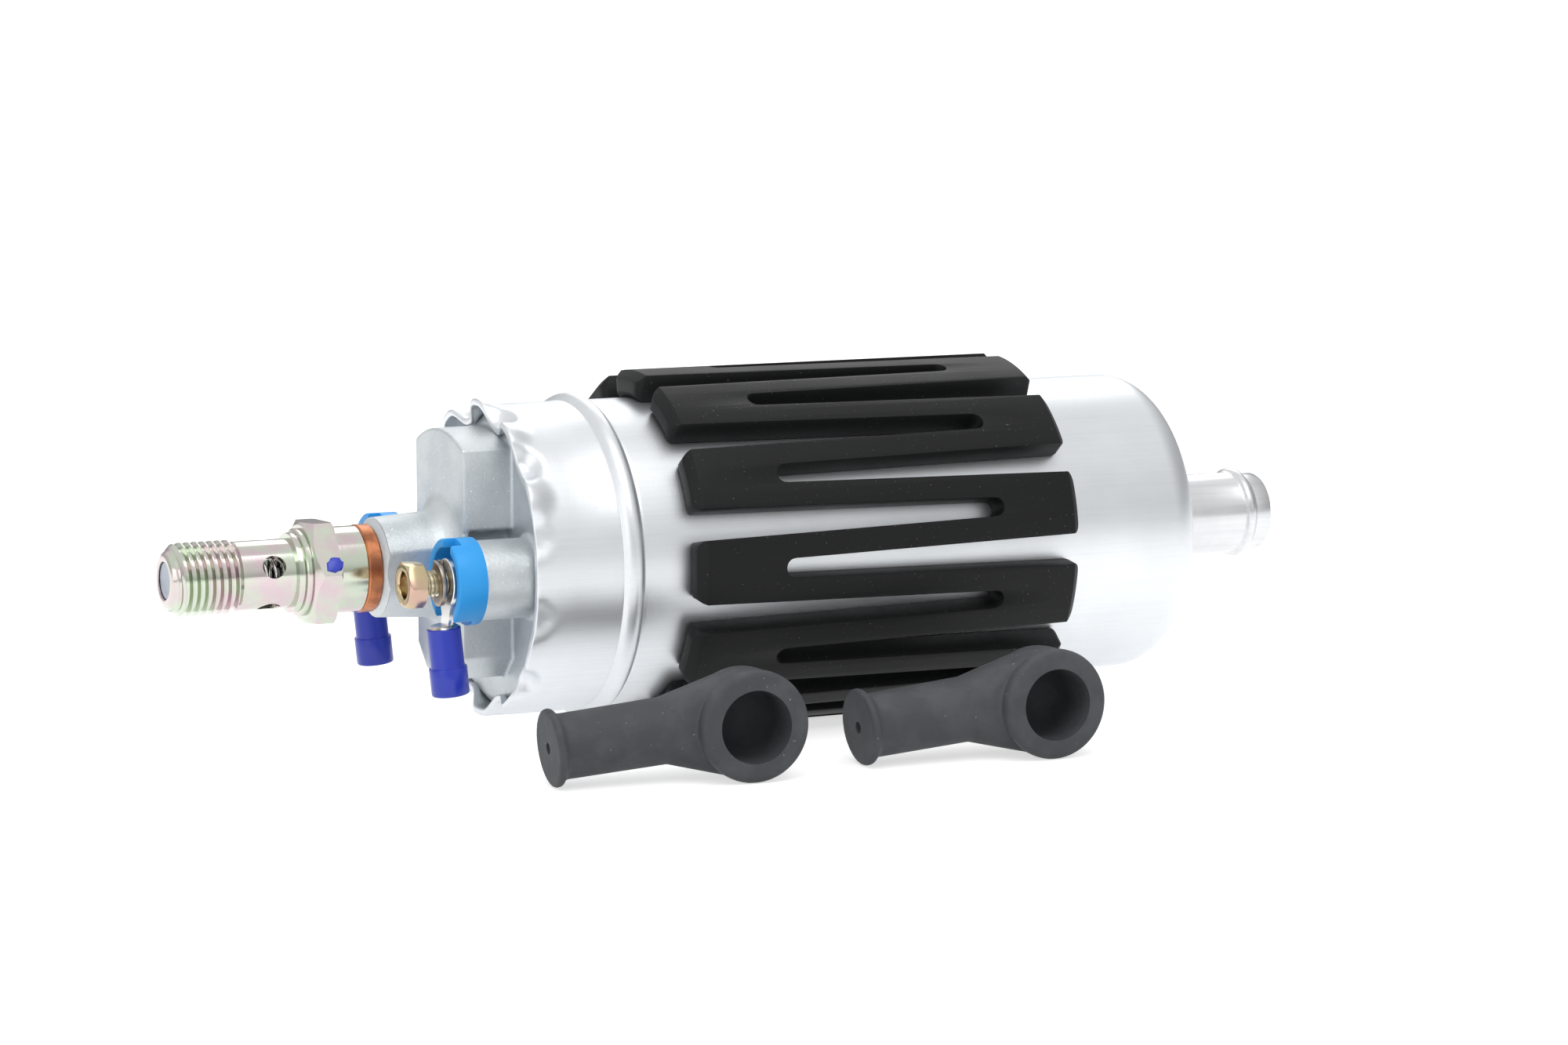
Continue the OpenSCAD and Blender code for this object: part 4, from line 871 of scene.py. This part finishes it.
def lug_and_sleeve(side, word):
    """A ring terminal, crimped in its sleeve, which leans towards the pump below."""
    s = sizes("pump_terminals")
    top_z, mid_x, lean = -9.72, -87.3, math.radians(6)
    rear, front = -86.95, -86.05
    drop = shift(x=mid_x, y=side * TERMINAL_Y, z=top_z) @ along((math.sin(lean), 0, -math.cos(lean)))
    ring = turned("Ring_terminal_" + word, [
        (rear, 2.6), (rear, 4.45), (-86.8, 4.6), (-86.2, 4.6), (front, 4.45), (front, 2.6), (rear, 2.6)],
        sides=64, through=True)
    tongue = box("Tongue", (rear, -2.9, -6.2), (front, 2.9, -3.0))
    edit(tongue)
    pick(tongue, "FACE", lambda f: f.normal.z < -0.9)
    bpy.ops.transform.resize(value=(1, 0.66, 1), center_override=(0, 0, 0))
    bpy.ops.mesh.extrude_region_move(TRANSFORM_OT_translate={"value": (-0.35 * MM, 0, -3.2 * MM)})
    done()
    combine(ring, tongue, how="UNION")
    place(ring, at_terminal(side))
    barrel = turned("Barrel", [(-1.0, 1.75), (-1.1, 2.35), (-0.65, 2.9), (-0.1, 2.75), (11.8, 2.75),
                               (11.8, 1.75), (1.6, 1.75), (1.2, 0.2)], sides=48)
    combine(ring, place(barrel, drop), how="UNION")
    bevel(ring, 0.12, segments=2, angle=45)
    finish(ring, "terminal_" + word, "terminal_tin", ["ring_terminal_" + word])
    sleeve = turned("Crimp_sleeve_" + word, [
        (-0.45, 2.8), (-0.6, 3.0), (-0.48, s.sleeve - 0.05), (-0.3, s.sleeve), (6.6, s.sleeve),
        (6.95, s.sleeve + 0.1), (7.0, s.flare - 0.05), (7.1, s.flare), (11.9, s.flare),
        (12.2, s.flare - 0.12), (12.3, s.flare - 0.4), (12.2, 2.8), (-0.45, 2.8)], sides=64, through=True)
    finish(place(sleeve, drop), "terminal_" + word, "sleeve_blue", ["crimp_sleeve_" + word], smooth=40)


def build_caps():
    s = sizes("pump_caps")
    back, waist, lift, arm_length = 16.6, 8.6, 10.2, 37
    body = s.cup - 0.35
    cup = turned("Cup", [(0, s.cup - 1.1), (0.3, s.cup - 0.35), (1.0, s.cup), (2.4, s.cup), (3.0, body - 0.1),
                         *dome(waist, back - waist, body, range(0, 91, 10))], sides=72)
    place(cup, along((0, 1, 0)))
    arm = turned("Arm", [(-arm_length, s.flange - 0.4), (-36.6, s.flange), (-35.8, s.flange),
                         (-35.1, s.arm + 0.2), (-34.6, s.arm - 0.1), (-8, s.arm + 0.1)], sides=56)
    place(arm, shift(y=lift))
    blend = turned("Blend", [(3.2, body - 0.1),
                             *dome(waist, back - 0.2 - waist, body - 0.1, range(0, 91, 15))], sides=48)
    place(blend, along((0, 1, 0)))
    throat = place(turned("Throat", [(-15.1, s.arm), (-14.9, s.arm)], sides=48), shift(y=lift))
    join("Blend", [blend, throat])
    edit(blend)
    bpy.ops.mesh.select_all(action="SELECT")
    bpy.ops.mesh.convex_hull()
    done()
    obj = join("Cap", [cup, arm, blend])
    modify(obj, "REMESH", mode="VOXEL", voxel_size=0.34 * MM)
    modify(obj, "SMOOTH", factor=0.5, iterations=3)
    modify(obj, "DECIMATE", ratio=0.4)
    hollow = turned("Hollow", [(-2, s.bore), (waist, s.bore), *dome(waist, 6, s.bore, range(15, 91, 15))],
                    sides=64)
    combine(obj, place(hollow, along((0, 1, 0))))
    combine(obj, place(turned("Arm_bore", [(-35.4, 4.2), (0, 4.2)], sides=48), shift(y=lift)))
    combine(obj, place(turned("Pilot", [(-39, 1.1), (-33, 1.1)], sides=32), shift(y=lift)))
    tilt = Matrix.Rotation(-math.asin((s.cup - s.flange) / arm_length), 4, "Y")
    cap_z = -24.55
    for name, x, y, yaw in (("left", -43, -63.8, -4.5), ("right", 18.3, -66.7, -1.0)):
        there = shift(x, y, cap_z) @ Matrix.Rotation(math.radians(yaw), 4, "Z") @ tilt
        finish(twin(obj, "Cap_" + name, there), "cap_" + name, "cap_rubber", ["terminal_cap_" + name],
               smooth=45)
    bpy.data.objects.remove(obj)


INNER_SPRINGS = (
    # node, turns, joint, share of its length that is left, end that stays: 0 left, 1 right
    ("brush_spring_upper", 6, "brush_upper_slide", 0.703, 0),
    ("brush_spring_lower", 6, "brush_lower_slide", 0.703, 0),
    ("relief_spring", 5, "relief_lift", 0.763, 1),
)
INNER_WIRE = 0.7


def build_inner_springs():
    for node, turns, joint, keep, fixed in INNER_SPRINGS:
        lo, hi = (Vector(corner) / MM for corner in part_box(node))
        wire = min(INNER_WIRE, (hi.y - lo.y) / 7) / 2
        span = hi.x - lo.x - 2 * wire
        mid_y, mid_z = (lo.y + hi.y) / 2, (lo.z + hi.z) / 2
        spring = helix(node.capitalize(), (hi.y - lo.y) / 2 - wire, wire_section(wire, 8), lo.x + wire,
                       span / turns, turns, steps=24)
        place(spring, shift(y=mid_y, z=mid_z))
        finish(spring, "pump_body", "spring_wire", [node], smooth=60)
        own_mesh(spring)


HIDDEN_LOOKS = {
    "inlet_screen": "screen_wire", "inlet_plate": "plate_steel", "pump_ring": "ring_steel",
    "rotor_disc": "ring_steel", "rollers": "ball_steel", "outlet_plate": "plate_steel",
    "pump_screws": "screw_steel", "dowel_pins": "shaft_steel", "relief_ball": "ball_steel",
    "relief_retainer": "plate_steel", "motor_shaft": "shaft_steel",
    "core_stack": "core_iron", "winding": "winding_copper", "commutator": "winding_copper",
    "flux_ring": "flux_steel", "magnet_upper": "ferrite", "magnet_lower": "ferrite",
    "magnet_clips": "spring_wire", "front_bush": "bush_bronze", "rear_bush": "bush_bronze",
    "brush_carrier": "carrier_resin", "brush_upper": "brush_carbon", "brush_lower": "brush_carbon",
    "cover_seal": "seal_rubber", "valve_plunger": "plunger_resin", "inner_washers": "washer_nickel",
}


def paint_inside():
    for node, slot in HIDDEN_LOOKS.items():
        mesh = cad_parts[node].data
        mesh.materials.clear()
        mesh.materials.append(material(slot))


def build_stage():
    s = bpy.context.scene.pump_stage
    bpy.ops.object.select_all(action="DESELECT")
    bpy.ops.mesh.primitive_plane_add(size=s.floor_size, location=(0, 0, SURFACE_Z * MM))
    floor = start("Floor")
    mat = bpy.data.materials.new("Floor white")
    mat.use_nodes = True
    nodes, link = mat.node_tree.nodes, mat.node_tree.links.new
    out = nodes["Material Output"]
    nodes.remove(nodes["Principled BSDF"])
    diffuse, glow, add = (nodes.new("ShaderNode" + k) for k in ("BsdfDiffuse", "Emission", "AddShader"))
    diffuse.inputs["Color"].default_value = (0.7, 0.7, 0.7, 1)
    path = nodes.new("ShaderNodeLightPath")
    floor_glow = 0.62
    seen = maths(mat.node_tree, "ADD", path.outputs["Is Camera Ray"], path.outputs["Is Glossy Ray"])
    link(maths(mat.node_tree, "MULTIPLY", seen, floor_glow), glow.inputs["Strength"])
    link(diffuse.outputs[0], add.inputs[0])
    link(glow.outputs[0], add.inputs[1])
    link(add.outputs[0], out.inputs["Surface"])
    floor.data.materials.append(mat)

    world = bpy.data.worlds.new("Studio")
    bpy.context.scene.world = world
    world.use_nodes = True
    tree = world.node_tree
    nodes, link = tree.nodes, tree.links.new
    back = nodes["Background"]
    where, split = nodes.new("ShaderNodeTexCoord"), nodes.new("ShaderNodeSeparateXYZ")
    link(where.outputs["Object"], split.inputs[0])
    height = split.outputs[2]
    even = maths(tree, "MULTIPLY", smooth_range(tree, height, -0.1, 0.5, 0.40, 1.05), s.light)
    path, mix = nodes.new("ShaderNodeLightPath"), nodes.new("ShaderNodeMix")
    link(path.outputs["Is Camera Ray"], mix.inputs[0])
    link(even, mix.inputs[2])
    mix.inputs[3].default_value = 1
    # What metal reflects: a studio that is darker in three soft directions
    shiny = nodes.new("ShaderNodeMix")
    reflected = smooth_range(tree, height, -0.1, 0.45, 0.55, 0.9)
    for toward, first, last, least in (
            ((-0.46, -0.88, 0.1), 0.6, 0.97, 0.7), ((0.35, 0.93, 0.05), 0.7, 0.98, 0.5),
            ((1, 0, 0), 0.45, 0.95, 0.55)):
        facing = nodes.new("ShaderNodeVectorMath")
        facing.operation = "DOT_PRODUCT"
        link(where.outputs["Object"], facing.inputs[0])
        facing.inputs[1].default_value = toward
        dark = smooth_range(tree, facing.outputs["Value"], first, last, 1.0, least)
        reflected = maths(tree, "MULTIPLY", reflected, dark)
    link(path.outputs["Is Glossy Ray"], shiny.inputs[0])
    link(mix.outputs[0], shiny.inputs[2])
    link(reflected, shiny.inputs[3])
    link(shiny.outputs[0], back.inputs["Strength"])
    back.inputs["Color"].default_value = (1, 1, 1, 1)

    for name, spot, size, power in (
            ("Key", (-150, -500, 900), 700, s.key), ("Fill", (-900, -500, 350), 600, s.key * 0.35),
            ("Rim", (350, 700, 600), 600, s.key * 0.5)):
        bpy.ops.object.light_add(type="AREA", location=Vector(spot) * MM)
        light = bpy.context.object
        light.name = name
        light.data.size = size * MM
        light.data.energy = power
        light.rotation_euler = (-Vector(spot)).to_track_quat("-Z", "Y").to_euler()

    eye = Vector((-377.52, -774.09, 117.62)) * MM
    target = Vector((-7.02, 0, 3.63)) * MM
    bpy.ops.object.camera_add(location=eye, rotation=(target - eye).to_track_quat("-Z", "Y").to_euler())
    camera = bpy.context.object
    camera.data.lens = 100
    camera.data.sensor_width = 36
    camera.data.clip_start = 0.01
    camera.data.clip_end = 200
    scene = bpy.context.scene
    scene.camera = camera
    scene.view_settings.view_transform = "Standard"


# Operators

def operator(key, label, text, step):
    """An operator class that runs a step."""
    def execute(self, context):
        step()
        return {"FINISHED"}

    return type("PUMP_OT_" + key, (bpy.types.Operator,), {
        "bl_idname": "pump." + key, "bl_label": label, "__doc__": text, "bl_options": {"REGISTER"},
        "execute": execute})


OPERATORS = (
    operator("build_can", "Can", "Model the drawn can with its bead and crimped rim", build_can),
    operator("build_spigot", "Inlet spigot", "Model the inlet spigot with its hose bead", build_spigot),
    operator("build_jacket", "Rubber jacket", "Model the slotted rubber jacket", build_jacket),
    operator("build_cover", "Terminal cover", "Model the cast terminal cover", build_cover),
    operator("build_valve", "Check valve", "Model the check valve, its spring, plug and washer", build_valve),
    operator("build_terminals", "Terminals", "Model both terminals and their crimped sleeves",
             build_terminals),
    operator("build_caps", "Terminal caps", "Model the two loose rubber caps", build_caps),
    operator("build_inner_springs", "Inner springs", "Model the springs that their joints squash",
             build_inner_springs),
    operator("paint_inside", "Inner pieces", "Give the inner pieces their materials", paint_inside),
    operator("build_stage", "Stage", "Set up the floor, the lights and the camera", build_stage),
)


class PUMP_PT_panel(bpy.types.Panel):
    """Lists the steps that dress the pump and their sizes"""
    bl_idname = "PUMP_PT_panel"
    bl_label = "Electric fuel pump"
    bl_space_type = "VIEW_3D"
    bl_region_type = "UI"
    bl_category = "Fuel pump"

    def draw(self, context):
        for name, group in GROUPS.items():
            column = self.layout.box().column()
            for key in group.__annotations__:
                column.prop(getattr(context.scene, name), key)
        for item in OPERATORS:
            self.layout.operator(item.bl_idname)


def register():
    for item in (*GROUPS.values(), *OPERATORS, PUMP_PT_panel):
        bpy.utils.register_class(item)
    for name, group in GROUPS.items():
        setattr(bpy.types.Scene, name, PointerProperty(type=group))


def unregister():
    for name in GROUPS:
        delattr(bpy.types.Scene, name)
    for item in reversed((*GROUPS.values(), *OPERATORS, PUMP_PT_panel)):
        bpy.utils.unregister_class(item)


def main():
    register()
    for item in OPERATORS:
        getattr(bpy.ops.pump, item.bl_idname.split(".")[1])()


if __name__ == "__main__":
    main()
